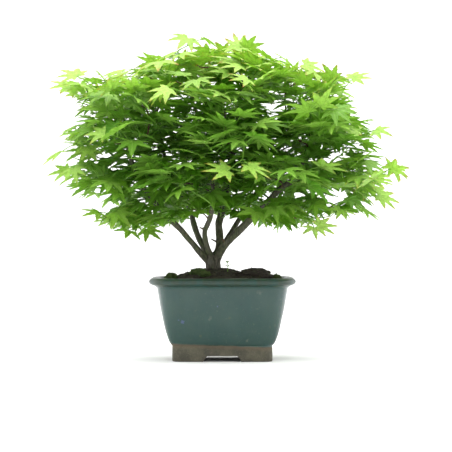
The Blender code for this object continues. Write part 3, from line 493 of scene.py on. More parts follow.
def plain_finish(name, base, second, roughness, scale, metallic=0.0):
    """A finish for the pieces hidden in and under the pot, mottled between two colours."""
    nodes = Finish(name, roughness)
    nodes.shader.inputs["Metallic"].default_value = metallic
    patches = nodes.noise(scale, 4.0, 0.65)
    return nodes.done(nodes.mix(nodes.ramp(patches, 0.35, 0.7), base, second), patches, 0.5, 0.0008)


# ---------------------------------------------------------------- meshes

class Gathering:
    """Small shapes gathered into one mesh. Each mark is a value or vector kept for every point."""

    def __init__(self, **marks):
        self.points, self.faces, self.slots, self.rims = [], [], [], []
        self.widths = marks
        self.marks = {name: [] for name in marks}
        self.count = 0

    def add(self, points, faces, slot=0, rim=None, **marks):
        """Adds points, and one or more arrays of faces that share a number of corners."""
        points = np.asarray(points, dtype=np.float64)
        for array in faces:
            self.faces.append(np.asarray(array, dtype=np.int64) + self.count)
            self.slots.append(np.full(len(array), slot))
        for name, width in self.widths.items():
            values = np.zeros((len(points), width))
            values[:] = marks.get(name, 0.0)
            self.marks[name].append(values)
        self.rims.append(np.zeros(len(points), dtype=bool) if rim is None else rim)
        self.points.append(points)
        self.count += len(points)

    def mesh(self, name):
        """The mesh of all the shapes, smooth but for creases between points on a rim."""
        points = np.concatenate(self.points)
        made = bpy.data.meshes.new(name)
        made.vertices.add(len(points))
        made.vertices.foreach_set("co", points.astype(np.float32).ravel())
        sizes = np.concatenate([np.full(len(array), array.shape[1]) for array in self.faces])
        corners = np.concatenate([array.ravel() for array in self.faces])
        made.loops.add(len(corners))
        made.loops.foreach_set("vertex_index", corners.astype(np.int32))
        made.polygons.add(len(sizes))
        starts = np.concatenate(([0], np.cumsum(sizes)[:-1]))
        made.polygons.foreach_set("loop_start", starts.astype(np.int32))
        made.polygons.foreach_set("material_index", np.concatenate(self.slots).astype(np.int32))
        made.polygons.foreach_set("use_smooth", np.ones(len(sizes), dtype=bool))
        made.update(calc_edges=True)
        on_rim = np.concatenate(self.rims)
        if on_rim.any():
            ends = np.empty(2 * len(made.edges), dtype=np.int32)
            made.edges.foreach_get("vertices", ends)
            creased = on_rim[ends[0::2]] & on_rim[ends[1::2]]
            made.edges.foreach_set("use_edge_sharp", creased)
        for mark, width in self.widths.items():
            values = np.concatenate(self.marks[mark]).astype(np.float32)
            kind, field = ("FLOAT", "value") if width == 1 else ("FLOAT_VECTOR", "vector")
            made.attributes.new(mark, kind, "POINT").data.foreach_set(field, values.ravel())
        made.validate()
        return made


def placed(name, data):
    """A new object in the scene."""
    made = bpy.data.objects.new(name, data)
    bpy.context.scene.collection.objects.link(made)
    return made


def applied(blank):
    """The mesh of an object with its modifiers. The object itself goes."""
    bpy.context.view_layer.update()
    mesh = bpy.data.meshes.new_from_object(blank.evaluated_get(bpy.context.evaluated_depsgraph_get()))
    bpy.data.objects.remove(blank, do_unlink=True)
    return mesh


def show(name, mesh, materials, replaced):
    """Puts a finished piece in the scene in place of the plain solids that it stands for."""
    piece = placed(name, mesh)
    mesh.materials.clear()
    for material in materials:
        mesh.materials.append(material)
    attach(piece, "root")
    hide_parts(*replaced)


def unit(vectors):
    """An array's vectors, at length 1."""
    return vectors / np.maximum(np.linalg.norm(vectors, axis=-1, keepdims=True), 1e-12)


def sweep(line, radii, sides):
    """A closed tube along a line, as points and faces."""
    line = np.asarray(line, dtype=np.float64)
    ahead = np.empty_like(line)
    ahead[1:-1] = line[2:] - line[:-2]
    ahead[0], ahead[-1] = line[1] - line[0], line[-1] - line[-2]
    ahead = unit(ahead)
    side = np.cross(ahead[0], (0.3, 0.2, 0.93) if abs(ahead[0][2]) < 0.8 else (1.0, 0.1, 0.0))
    angles = np.arange(sides) * 2 * math.pi / sides
    rings = []
    for place, way, radius in zip(line, ahead, radii):
        side = unit(side - way * side.dot(way))
        up = np.cross(way, side)
        rings.append(place + radius * (np.outer(np.cos(angles), side) + np.outer(np.sin(angles), up)))
    last = (len(line) - 1) * sides
    ring = np.arange(sides)
    following = (ring + 1) % sides
    foot = np.stack((following, ring, np.full(sides, last + sides)), axis=1)
    tip = np.stack((ring + last, following + last, np.full(sides, last + sides + 1)), axis=1)
    return np.concatenate(rings + [line[:1], line[-1:]]), [walls(len(line), sides), foot, tip]


def walls(rings, sides):
    """The four-cornered faces between rings of points."""
    ring = np.arange(sides)
    following = (ring + 1) % sides
    return np.concatenate([np.stack((ring + k * sides, following + k * sides, following + (k + 1) * sides,
                                     ring + (k + 1) * sides), axis=1) for k in range(rings - 1)])


def loft(rings):
    """Points and faces of a closed solid through level rings, each with as many points."""
    count = len(rings[0])
    ring = np.arange(count)
    top = ring + (len(rings) - 1) * count
    return np.concatenate(rings), [walls(len(rings), count), ring[::-1][None, :], top[None, :]]


def rough(place, scale, octaves=4):
    """Fractal noise from about -1 to 1 at a place."""
    return noise.fractal(Vector(place) * scale, 1.0, 2.0, octaves)


def ball(subdivisions):
    """A ball of radius 1 as points and triangles."""
    work = bmesh.new()
    bmesh.ops.create_icosphere(work, subdivisions=subdivisions, radius=1.0)
    points = np.array([v.co for v in work.verts])
    faces = np.array([[v.index for v in face.verts] for face in work.faces])
    work.free()
    return points, faces


def turned(chance):
    """A random turn as a 3 by 3 array."""
    axis = Vector([chance.gauss(0, 1) for _ in range(3)]).normalized()
    return np.array(Matrix.Rotation(chance.uniform(0, 2 * math.pi), 3, axis))


def any_way(chance, reach=1.0):
    """A random vector in the cube that reaches this far."""
    return Vector([chance.uniform(-reach, reach) for _ in range(3)])


def level_way(angle, rise=0.0):
    """A level way at an angle from X, with a rise added."""
    return Vector((math.cos(angle), math.sin(angle), rise))


def swung(first, second, angle):
    """A way turned from the first towards the second."""
    return first * math.cos(angle) + second * math.sin(angle)


def curved(start, bend, end, shares):
    """Places at some shares along a curve that sets off towards the bend."""
    return [start.lerp(bend, t).lerp(bend.lerp(end, t), t) for t in shares]


def clamped(value):
    return min(1.0, max(0.0, value))


# ---------------------------------------------------------------- pot

CORNER_STEPS = 20
SIDE_STEPS = 14
BODY_RINGS = 26
LIP_STEPS = 26
LIP_ROLL = 0.0100  # the roll's height, above the cove that it stands out over
LIP_START = -62.0  # degrees around the roll, from its outside
LIP_TURN = 232.0
COVE_STEPS = 7
COVE_TURN = (0.0006, 0.0034)  # the cove's sharpest place, outwards and upwards from the neck
BODY_CROWDING = 1.4  # how the body's rings crowd towards the foot
INSIDE_STRIDE = 3
HOLE_SIDES = 48
CUT_ROOM = 0.01  # how far the cuts reach below the foot
FLAT_CREASE = math.radians(38.0)


def pot_ring(half_length, height, scale=1.0):
    """A level outline of the pot: every one is the rim's outline, offset inwards."""
    inset = RIM_LENGTH / 2 - half_length
    half_depth = RIM_DEPTH / 2 - inset
    radius = RIM_CORNER - inset
    ring = []
    for side_x, side_y, start in ((1, 1, 0.0), (-1, 1, 90.0), (-1, -1, 180.0), (1, -1, 270.0)):
        corner = []
        for step in range(CORNER_STEPS + 1):
            angle = math.radians(start + 90.0 * step / CORNER_STEPS)
            corner.append((side_x * (half_length - radius) + radius * math.cos(angle),
                           side_y * (half_depth - radius) + radius * math.sin(angle)))
        if ring:
            ring += straight(ring[-1], corner[0])
        ring += corner
    ring += straight(ring[-1], ring[0])
    return np.array([(x * scale, y * scale, height) for x, y in ring])


def straight(start, end):
    """The points between the ends of a straight side."""
    shares = [step / SIDE_STEPS for step in range(1, SIDE_STEPS)]
    return [(start[0] + (end[0] - start[0]) * t, start[1] + (end[1] - start[1]) * t) for t in shares]


def body_half(share):
    """The half length of the glazed body at a share of its height."""
    start = FOOT_HALF + GLAZE_EDGE
    return start + (NECK_HALF - start) * share**BELLY


def pot_profile():
    """The pot's section from the foot, up the outside, over the lip and down the inside."""
    profile = [(FOOT_HALF - 0.0015, 0.0), (FOOT_HALF - 0.0005, 0.0004), (FOOT_HALF, 0.0015)]
    profile += [(FOOT_HALF + 0.0002 * step / 4, FOOT_HEIGHT * step / 5) for step in range(1, 5)]
    profile += [(FOOT_HALF + 0.0002, FOOT_HEIGHT - 0.0010), (FOOT_HALF + GLAZE_EDGE, FOOT_HEIGHT - 0.0003)]
    for ring in range(1, BODY_RINGS + 1):
        share = (ring / BODY_RINGS) ** BODY_CROWDING
        profile.append((body_half(share), FOOT_HEIGHT + share * (BODY_TOP - FOOT_HEIGHT)))
    middle, centre = RIM_LENGTH / 2 - LIP_WIDTH / 2, POT_HEIGHT - LIP_ROLL / 2
    roll = []
    for step in range(LIP_STEPS + 1):
        angle = math.radians(LIP_START + LIP_TURN * step / LIP_STEPS)
        roll.append((middle + LIP_WIDTH / 2 * math.cos(angle), centre + LIP_ROLL / 2 * math.sin(angle)))
    turn = Vector((NECK_HALF, BODY_TOP)) + Vector(COVE_TURN)
    shares = [step / COVE_STEPS for step in range(1, COVE_STEPS)]
    profile += [tuple(place) for place in curved(Vector(profile[-1]), turn, Vector(roll[0]), shares)]
    profile += roll
    for ring in range(BODY_RINGS, 1, -INSIDE_STRIDE):
        share = (ring / BODY_RINGS) ** BODY_CROWDING
        profile.append((body_half(share) - WALL, FOOT_HEIGHT + share * (BODY_TOP - FOOT_HEIGHT)))
    profile.append((FOOT_HALF - WALL - GLAZE_EDGE, FLOOR_TOP))
    return profile


def block(name, rings):
    """A solid through rings of points, as an object."""
    made = Gathering()
    made.add(*loft(rings))
    return placed(name, made.mesh(name))


def round_cutter(x, radius, low, high):
    """The cut for a round hole."""
    angles = [2 * math.pi * step / HOLE_SIDES for step in range(HOLE_SIDES)]
    return block("cutter", [[(x + radius * math.cos(a), radius * math.sin(a), z) for a in angles]
                            for z in (low, high)])


def arch_cutter():
    """The low cut through the front and the back of the foot."""
    rings = []
    for side in (-1, 0, 1):
        ring = [(side_x * (ARCH_LENGTH / 2 - up * ARCH_SLOPE * z / ARCH_HEIGHT), 0.0, up * z)
                for side_x, up, z in ((-1, -1, ARCH_HEIGHT), (1, -1, ARCH_HEIGHT), (1, 1, ARCH_HEIGHT),
                                      (-1, 1, ARCH_HEIGHT))]
        rings.append(np.array(ring) + (0.0, -side * RIM_DEPTH, 0.0))
    return block("cutter", rings)


def build_pot(pot):
    """The glazed pot, hollow, with its drain holes, its recess and the cuts through its foot."""
    rings = [pot_ring(half, z) for half, z in pot_profile()]
    for ring in rings:
        for point in ring:
            if point[2] > FOOT_HEIGHT / 2:
                outward = unit(np.array((point[0], point[1], 0.0)))
                point += outward * pot.waviness * rough(point, 24.0)
                if point[2] > BODY_TOP:
                    point[2] += pot.waviness * rough(point + 7.0, 18.0, 2)
    blank = block("pot_blank", rings)
    inner = FOOT_HALF - FOOT_WALL
    tools = [block("cutter", [pot_ring(inner, -CUT_ROOM), pot_ring(inner, RECESS_HEIGHT)]), arch_cutter()]
    tools += [round_cutter(side * DRAIN_SPACING / 2, DRAIN_RADIUS, -CUT_ROOM, 2 * FLOOR_TOP)
              for side in (-1, 1)]
    for tool in tools:
        step = blank.modifiers.new("cut", "BOOLEAN")
        step.operation = "DIFFERENCE"
        step.object = tool
    mesh = applied(blank)
    mesh.name = "glazed_pot"
    for tool in tools:
        bpy.data.objects.remove(tool, do_unlink=True)
    mesh.polygons.foreach_set("use_smooth", np.ones(len(mesh.polygons), dtype=bool))
    mesh.set_sharp_from_angle(angle=FLAT_CREASE)
    show("glazed_pot", mesh, [glaze_material(pot)], ["pot"])


def finish_drainage():
    """Finishes for the mesh screens, their wires and the grit, which keep their plain solids."""
    plastic = plain_finish("black_mesh_plastic", (0.020, 0.020, 0.022), (0.045, 0.045, 0.045), 0.45, 300.0)
    wire = plain_finish("dull_wire", (0.45, 0.44, 0.43), (0.60, 0.59, 0.57), 0.38, 500.0, metallic=1.0)
    grit = plain_finish("pumice_grit", (0.42, 0.39, 0.33), (0.13, 0.11, 0.09), 0.9, 320.0)
    finishes = {"drain_screen": plastic, "screen_wire": wire, "drainage_grit": grit}
    for name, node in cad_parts.items():
        for start, material in finishes.items():
            if name.startswith(start):
                node.material_slots[0].material = material


# ---------------------------------------------------------------- ground

SOIL_REACH = NECK_HALF - WALL + 0.0030
SOIL_FLOOR = 0.0296
SOIL_RINGS = 58
MOSS_CUSHIONS = (
    # name, place as shares of the soil's half length and half depth, and then the cushion's half
    # length, half depth and rise as shares of the soil's half length
    ("moss_cushion_left", -0.39, -0.41, 0.133, 0.110, 0.075),
    ("moss_cushion_front", -0.28, -0.62, 0.098, 0.081, 0.052),
    ("moss_cushion_far_left", -0.82, -0.31, 0.110, 0.116, 0.098),
    ("moss_cushion_right", 0.86, -0.19, 0.092, 0.104, 0.069),
    ("moss_cushion_back", -0.23, 0.56, 0.173, 0.127, 0.069),
)
CLOD_PLACE = (0.54, -0.41)
CLOD_SIZE = (0.231, 0.150, 0.098)
SEEDLING_PLACE = (0.08, -0.47)
SEEDLING_HEIGHT = 0.013
CLOD_GRAINS = 260
CLOD_ROOTS = 34
ROOTLET_RADII = (0.00022, 0.0002, 0.00016, 0.0001)
SHOOT_RADII = (0.00034, 0.00030, 0.00005)
SPROUT_RADII = (0.0008, 0.0007, 0.0006, 0.0004)
SPROUT_SHARES = (0.0, 0.12, 0.28, 0.45, 0.62, 0.80, 0.93, 1.0)
SPROUT_LEAF = (0.0078, 0.0027, 0.00012)  # length, half width and half thickness
SUNK = 0.002  # how far the seedling's foot is in the soil
SQUARENESS = 3.2  # of the line that the crumbs keep within
DIP_X = 0.023  # the soil's dip between the trunk and the clod
DIP_REACH = 0.009
DIP_DEPTH = 0.0026


def ground(x, y):
    """The height of the soil's mound, without its small lumps."""
    away = min(1.0, math.hypot(x / SOIL_HALF_LENGTH, y / SOIL_HALF_DEPTH))
    return SOIL_EDGE + MOUND_HEIGHT * math.cos(away * math.pi / 2) ** 0.8


def soil_surface(x, y):
    """The height of the soil with its lumps and its dip."""
    lump = 0.0019 * rough((x, y, 3.0), 90.0, 3) + 0.0014 * rough((x, y, 9.0), 330.0, 3)
    return ground(x, y) + lump - DIP_DEPTH * math.exp(-((x - DIP_X) / DIP_REACH)**2)


def on_soil(along_x, along_y):
    """A place on the mound at shares of its half length and half depth."""
    x, y = along_x * SOIL_HALF_LENGTH, along_y * SOIL_HALF_DEPTH
    return Vector((x, y, ground(x, y)))


def crumb(shape, chance, place, size):
    """An irregular crumb, as points."""
    points = shape @ turned(chance).T
    offset = chance.uniform(0, 50)
    lumps = np.array([1.0 + 0.35 * noise.noise(Vector(p) * 1.3 + Vector((offset, 0, 0))) for p in points])
    squash = np.array([chance.uniform(0.75, 1.25), chance.uniform(0.75, 1.25), chance.uniform(0.5, 0.9)])
    return points * lumps[:, None] * squash * size + np.array(place)


def build_soil(soil):
    """The mound, with loose crumbs pressed into it."""
    chance = random.Random(SEED)
    rings = [pot_ring(FOOT_HALF, SOIL_FLOOR), pot_ring(SOIL_REACH, SOIL_EDGE - 0.004)]
    for ring in range(SOIL_RINGS + 1):
        share = 1.0 - 0.985 * ring / SOIL_RINGS
        outline = pot_ring(SOIL_REACH, 0.0, share)
        for point in outline:
            point[2] = soil_surface(point[0], point[1])
        rings.append(outline)
    shape = Gathering(tone=1)
    shape.add(*loft(rings))
    fine, coarse = ball(1), ball(2)
    depth = SOIL_REACH - (RIM_LENGTH - RIM_DEPTH) / 2
    for _ in range(soil.crumbs):
        x, y = chance.uniform(-1, 1) * SOIL_REACH, chance.uniform(-1, 1) * depth
        if abs(x / SOIL_REACH) ** SQUARENESS + abs(y / depth) ** SQUARENESS > 0.96:
            continue
        size = soil.crumb_size / 2 * chance.uniform(0.55, 1.0) * (2.3 if chance.random() < 0.14 else 1.0)
        ball_points, ball_faces = coarse if size > soil.crumb_size * 0.6 else fine
        place = (x, y, soil_surface(x, y) + size * chance.uniform(-0.1, 0.45))
        points = crumb(ball_points, chance, place, size)
        shape.add(points, [ball_faces], tone=chance.uniform(0.0, 0.55) ** 1.6)
    show("soil_mound", shape.mesh("soil_mound"), [soil_material("potting_soil", soil, 0.45)],
         ["soil"])


def build_clod(soil):
    """A dark clod at the right, of soil that roots hold together."""
    chance = random.Random(SEED + 1)
    centre = on_soil(*CLOD_PLACE)
    size = [share * SOIL_HALF_LENGTH for share in CLOD_SIZE]
    shape = Gathering(tone=1)
    points, faces = ball(5)
    grown = []
    for point in points:
        lump = 1.13 + 0.16 * noise.noise(Vector(point) * 2.2 + centre * 100) + 0.22 * rough(point, 4.0, 5)
        lump -= 0.24 * point[0] * max(0.0, point[2])
        grown.append(centre + Vector([part * lump * half for part, half in zip(point, size)]))
    shape.add(grown, [faces])
    small = ball(1)
    for _ in range(CLOD_GRAINS):
        point = grown[chance.randrange(len(grown))]
        if point.z > centre.z - 0.002:
            grain = chance.uniform(0.0004, 0.0011)
            shape.add(crumb(small[0], chance, point, grain), [small[1]], tone=chance.uniform(0.0, 0.5) ** 1.5)
    for _ in range(CLOD_ROOTS):
        start = grown[chance.randrange(len(grown))]
        if start.z > centre.z:
            way = Vector((chance.uniform(-1, 1), chance.uniform(-1, 1), chance.uniform(-0.5, 0.6)))
            bend = Vector((chance.uniform(-1, 1), chance.uniform(-1, 1), -0.4))
            line = [start + way * 0.0030 * t + bend * 0.0022 * t * t for t in (0.0, 0.4, 0.8, 1.2)]
            shape.add(*sweep(line, ROOTLET_RADII, 5), tone=0.7)
    show("clod_of_soil", shape.mesh("clod_of_soil"), [soil_material("rooty_soil", soil, 0.2)],
         ["soil_clod"])


def build_moss(soil):
    """Cushions of moss: a low dome covered in small pointed shoots."""
    material = moss_material("cushion_moss", soil.moss, soil.moss_dry)
    dome, faces = ball(4)
    for number, (name, along_x, along_y, half_length, half_depth, rise) in enumerate(MOSS_CUSHIONS):
        chance = random.Random(SEED * 10 + number)
        centre = on_soil(along_x, along_y)
        size = [share * SOIL_HALF_LENGTH for share in (half_length, half_depth, rise)]
        shape = Gathering(tone=1)
        grown, outward = [], []
        for point in dome:
            lump = 1.0 + 0.25 * noise.noise(Vector(point) * 2.2 + centre * 100) + 0.16 * rough(point, 3.5, 4)
            grown.append(centre + Vector([part * lump * half * 0.93 for part, half in zip(point, size)]))
            outward.append(Vector([part / half for part, half in zip(point, size)]).normalized())
        shape.add(grown, [faces])
        shoots = 0
        while shoots < soil.moss_shoots:
            pick = chance.randrange(len(grown))
            if grown[pick].z < ground(grown[pick].x, grown[pick].y) - 0.0005:
                continue
            aside = any_way(chance) * 0.0005
            foot = grown[pick] + aside - outward[pick] * 0.0004
            lean = Vector((chance.uniform(-1, 1), chance.uniform(-1, 1), 0.6)) * 0.45
            way = (outward[pick] + UP * 0.5 + lean).normalized() * soil.moss_height * chance.uniform(0.6, 1.2)
            tips = np.array([0.0] * 4 + [0.5] * 4 + [1.0] * 4 + [0.0, 1.0])
            shape.add(*sweep([foot, foot + way * 0.5, foot + way], SHOOT_RADII, 4), tone=tips[:, None])
            shoots += 1
        show(name.replace("cushion", "tuft"), shape.mesh(name + "_tuft"), [material], [name])


def build_seedling(soil):
    """A weed seedling with two pairs of small pointed leaves."""
    foot = on_soil(*SEEDLING_PLACE) - UP * SUNK
    top = foot + UP * (SEEDLING_HEIGHT + SUNK)
    shape = Gathering(tone=1)
    bend = Vector((0.0010, -0.0006, 0.0))
    line = [foot, foot.lerp(top, 0.35) + bend * 0.6, foot.lerp(top, 0.7) + bend, top]
    shape.add(*sweep(line, SPROUT_RADII, 8))
    reach, width, thickness = SPROUT_LEAF
    for height, turn, grown in ((0.62, 20.0, 1.0), (0.97, 105.0, 0.8)):
        for side in (0.0, 180.0):
            out = level_way(math.radians(turn + side), 0.8).normalized()
            across = UP.cross(out).normalized()
            rise = out.cross(across)
            rings = []
            for share in SPROUT_SHARES:
                half = width * grown * math.sin(math.pi * share**0.85) ** 0.75 + thickness
                middle = foot.lerp(top, height) + out * reach * grown * share - rise * 0.0016 * share * share
                lifts = [(u, thickness * (1 - abs(u))) for u in (-1.0, -0.5, 0.0, 0.5, 1.0)]
                lifts += [(u, -thickness) for u in (0.5, 0.0, -0.5)]
                rings.append([middle + across * half * u + rise * (half * 0.22 * abs(u) + lift)
                              for u, lift in lifts])
            shape.add(*loft(rings), tone=0.25)
    show("weed_sprout", shape.mesh("weed_sprout"), [moss_material("sprout_green", soil.seedling, soil.moss)],
         ["weed_seedling"])


# ---------------------------------------------------------------- how the tree grows

def above_rim(place):
    """A place whose height is given from the pot's rim."""
    return Vector((place[0], place[1], POT_HEIGHT + place[2]))


def smooth_line(places, step):
    """A rounded line through the places, with a knot about every step."""
    ends = [places[0] * 2 - places[1]] + places + [places[-1] * 2 - places[-2]]
    line = [places[0]]
    for i in range(1, len(ends) - 2):
        before, a, b, after = ends[i - 1:i + 3]
        count = max(1, round((b - a).length / step))
        for k in range(1, count + 1):
            t = k / count
            line.append(0.5 * (2 * a + (b - before) * t + (2 * before - 5 * a + 4 * b - after) * t**2
                               + (3 * a - before - 3 * b + after) * t**3))
    return line


def spray_places():
    """Where each spray's twig starts, and where it points, layer by layer from the bottom."""
    chance = random.Random(SEED)
    places = []
    for layer, (height, left, right, half_depth, count, rise) in enumerate(CANOPY):
        middle = (left + right) / 2
        half_x = (right - left) / 2 - SPRAY_REACH
        half_y = max(0.02, half_depth - SPRAY_REACH)
        for spray in range(count):
            angle = 2 * math.pi * (spray + 0.5 * (layer % 2) + chance.uniform(-0.12, 0.12)) / count
            x = middle + half_x * math.cos(angle)
            y = CANOPY_BACK + half_y * math.sin(angle)
            z = POT_HEIGHT + height + chance.uniform(-0.008, 0.008)
            out = level_way(angle, rise + chance.uniform(-0.1, 0.1)).normalized()
            places.append((Vector((x, y, z)), out))
    return places


def grow_wood(places):
    """Each branch as knots along its axis: limbs first, then one branch to every spray."""
    knots = []  # place, parent knot, sprays it carries
    closed = set()  # knots that no branch leaves from
    chains = []
    for limb in LIMBS:
        chain = []
        for place in smooth_line([above_rim(p) for p in limb], LIMB_STEP):
            knots.append([place, chain[-1] if chain else None, 0])
            chain.append(len(knots) - 1)
        chains.append(chain)
    fork = above_rim(LIMBS[2][0])
    order = sorted(range(len(places)), key=lambda i: (places[i][0] - fork).length)
    for index in order:
        place, out = places[index]
        start = nearest_knot(knots, closed, place, out)
        begin = knots[start][0]
        span = (place - begin).length
        parent = knots[start][1]
        leaving = (begin - knots[parent][0]).normalized() if parent is not None else UP
        leaving = (leaving + (place - begin).normalized()).normalized()
        first = begin + leaving * span * BRANCH_BOW
        neck = place - out * NECK_OF_TWIG
        second = neck - out * span * BRANCH_BOW
        chain = [start]
        for k in range(1, BRANCH_STEPS + 2):
            t = min(1.0, k / BRANCH_STEPS)
            point = begin * (1 - t)**3 + first * 3 * t * (1 - t)**2
            point += second * 3 * t * t * (1 - t) + neck * t**3
            knots.append([place if k > BRANCH_STEPS else point, chain[-1], 0])
            chain.append(len(knots) - 1)
        chains.append(chain)
        closed.update(chain[-BUD_KNOTS:])
        knot = chain[-1]
        while knot is not None:
            knots[knot][2] += 1
            knot = knots[knot][1]
    return knots, chains


def nearest_knot(knots, closed, place, out):
    """The knot that a branch to a place can leave from: close by, below it and behind it."""
    best, found = None, 0
    for index, (point, parent, _) in enumerate(knots):
        if parent is None or index in closed or point.z < POT_HEIGHT + LOWEST_BRANCHING:
            continue
        reach = place - point
        if reach.length < BUD_ROOM:
            continue
        cost = reach.length * (1.6 - 0.6 * reach.normalized().dot(out)) + max(0.0, BUD_ROOM - reach.z) * 1.5
        if best is None or cost < best:
            best, found = cost, index
    return found


def wood_radius(sprays):
    """How thick wood is that carries this many sprays."""
    return TIP_RADIUS * max(LEAST_LOAD, sprays) ** GIRTH


# ---------------------------------------------------------------- wood

FLESH_TOP = POT_HEIGHT + 0.105  # up to here the wood is one continuous skin
FINE_STEP = 0.003
THICK = 0.010  # wood this thick has a girth mark of 1
FULL_BARK = 0.009  # and wood this thick has bark of full depth
KNOB_SCALE = 110.0
STRAY_SCALE = 45.0
MOST_STRAY = 0.0012
LUMP_SCALE = 75.0
GRAIN_SCALES = (520.0, 520.0, 130.0)
RIDGE_SCALES = (260.0, 260.0, 70.0)
BODY_SIDES = 14
BRANCH_SIDES = 9
SKIN_SOFTENING = 5
NEAREST_BLOCK = 2000
LIMB_SWELL = 0.30
BRANCH_SWELL = 0.22
ROOT_SHARES = (0.0, 0.15, 0.3, 0.5, 0.7, 0.85, 1.0)
SIDE_ROOT = ((0.0, 0.0032), (0.006, 0.0026), (0.012, 0.0020), (0.018, 0.0014))  # reach and radius


def fleshed(points, radii, step, chance, knobs=0.08):
    """A finer line through the points, with uneven radii, as a living limb has."""
    line = smooth_line(points, step)
    lengths = np.cumsum([0.0] + [(b - a).length for a, b in zip(line, line[1:])])
    at = np.cumsum([0.0] + [(b - a).length for a, b in zip(points, points[1:])])
    grown = np.interp(lengths / lengths[-1], at / at[-1], radii)
    offset = chance.uniform(0, 100)
    sway = [min(1.0, 4 * k / len(line), 4 * (len(line) - 1 - k) / len(line)) for k in range(len(line))]
    for k, place in enumerate(line):
        grown[k] *= 1.0 + knobs * noise.noise(Vector((lengths[k] * KNOB_SCALE, offset, 0.0)))
        stray = noise.noise_vector(Vector((lengths[k] * STRAY_SCALE, offset, 5.0)))
        line[k] = place + stray * sway[k] * min(MOST_STRAY, 0.35 * grown[k])
    return line, list(grown)


def root_lines(chance):
    """The surface roots and their side roots: points and radii."""
    lines = []
    for heading in ROOT_HEADINGS:
        out = level_way(math.radians(heading))
        aside = UP.cross(out)
        points, radii = [], []
        for share in ROOT_SHARES:
            start = above_rim((TRUNK[1][0], TRUNK[1][1], ROOT_HEIGHT - ROOT_DROP * share**1.5))
            sway = aside * 0.002 * math.sin(share * 5.0 + heading)
            points.append(start + out * ROOT_REACH * share + sway)
            radii.append(ROOT_RADIUS * (1 - 0.6 * share))
        lines.append((points, radii))
        for side in (-1, 1):
            start = points[2 if side < 0 else 3]
            way = (out + aside * side * 0.8 - UP * 0.35).normalized()
            branch = [start + way * reach for reach, _ in SIDE_ROOT]
            lines.append((branch, [radius for _, radius in SIDE_ROOT]))
    return [fleshed(points, radii, FINE_STEP, chance, 0.2) for points, radii in lines]


def wood_lines(knots, chains):
    """Every limb and branch as a fine line with its radii, swollen where it leaves its parent."""
    chance = random.Random(SEED + 2)
    lines = []
    for number, chain in enumerate(chains):
        points = [knots[i][0].copy() for i in chain]
        radii = [wood_radius(knots[i][2]) for i in chain]
        radii[0] = min(radii[0], radii[1])
        line, grown = fleshed(points, radii, FINE_STEP, chance)
        swell = LIMB_SWELL if number < len(LIMBS) else BRANCH_SWELL
        for k in range(len(line)):
            grown[k] *= 1.0 + swell * math.exp(-FINE_STEP * k / (3.0 * grown[0]))
        lines.append((line, grown))
    return lines


def barked(points, normals, radii, furrow):
    """Pushes the skin in and out: broad lumps, and furrows that run along the height."""
    for k, (place, normal) in enumerate(zip(points, normals)):
        thick = min(1.0, radii[k] / FULL_BARK)
        broad = rough(place, LUMP_SCALE, 3)
        grain = noise.fractal(Vector(place * GRAIN_SCALES), 0.8, 2.1, 4)
        ridge = 1.0 - abs(noise.noise(Vector(place * RIDGE_SCALES)))
        depth = thick * (0.9 * broad * furrow + furrow * (0.55 * grain + 0.7 * (ridge - 0.75)))
        points[k] += normal * depth
    return points


def build_wood(wood):
    """The trunk, roots and limbs as one skin, and the branches within the crown swept on from it."""
    noise.seed_set(SEED)  # or noise_vector differs from run to run
    chance = random.Random(SEED + 3)
    knots, chains = grow_wood(spray_places())
    lines = wood_lines(knots, chains)
    trunk = fleshed([above_rim(step) for step in TRUNK], [step[3] for step in TRUNK], FINE_STEP, chance, 0.1)
    stubs = []
    for start, end in STUBS:
        a, b = above_rim(start), above_rim(end)
        stubs.append(([a, a.lerp(b, 0.5), b], [STUB_RADIUS * 1.25, STUB_RADIUS, STUB_RADIUS * 0.8]))
    body = [trunk] + root_lines(chance) + stubs
    upper = []
    for line, radii in lines:
        low = [k for k in range(len(line)) if line[k].z < FLESH_TOP]
        if low and low[-1] > 1:
            body.append((line[:low[-1] + 1], radii[:low[-1] + 1]))
        start = max(0, low[-1] - 3) if low else 0
        if start < len(line) - 2:
            upper.append((line[start:], radii[start:]))
    rough_body = Gathering()
    for line, radii in body:
        rough_body.add(*sweep(line, radii, BODY_SIDES))
    blank = placed("wood_blank", rough_body.mesh("wood_blank"))
    skin = blank.modifiers.new("skin", "REMESH")
    skin.mode = "VOXEL"
    skin.voxel_size = wood.trunk_grain
    soften = blank.modifiers.new("soften", "SMOOTH")
    soften.factor = 0.5
    soften.iterations = SKIN_SOFTENING
    mesh = applied(blank)
    mesh.update()
    points = np.array([v.co for v in mesh.vertices])
    normals = np.array([v.normal for v in mesh.vertices])
    axis = np.concatenate([np.array(line) for line, _ in body])
    girths = np.concatenate([np.array(radii) for _, radii in body])
    nearest = np.empty(len(points), dtype=np.int64)
    for start in range(0, len(points), NEAREST_BLOCK):
        some = points[start:start + NEAREST_BLOCK]
        away = np.linalg.norm(some[:, None, :] - axis[None, :, :], axis=2) - girths[None, :]
        nearest[start:start + NEAREST_BLOCK] = away.argmin(axis=1)
    points = barked(points, normals, girths[nearest], wood.furrow)
    shape = Gathering(girth=1)
    faces = np.array([tuple(face.vertices) for face in mesh.polygons])
    shape.add(points, [faces], girth=(girths[nearest] / THICK)[:, None])
    bpy.data.meshes.remove(mesh)
    for line, radii in upper:
        points, faces = sweep(line, radii, BRANCH_SIDES)
        spread = np.concatenate([np.repeat(radii, BRANCH_SIDES), [radii[0], radii[-1]]])
        middles = np.concatenate([np.repeat(np.array(line), BRANCH_SIDES, axis=0), [line[0], line[-1]]])
        normals = unit(points - middles)
        shape.add(barked(points, normals, spread, wood.furrow), faces, girth=(spread / THICK)[:, None])
    show("trunk_and_limbs", shape.mesh("trunk_and_limbs"), [bark_material(wood)],
         ["trunk_and_branches"])


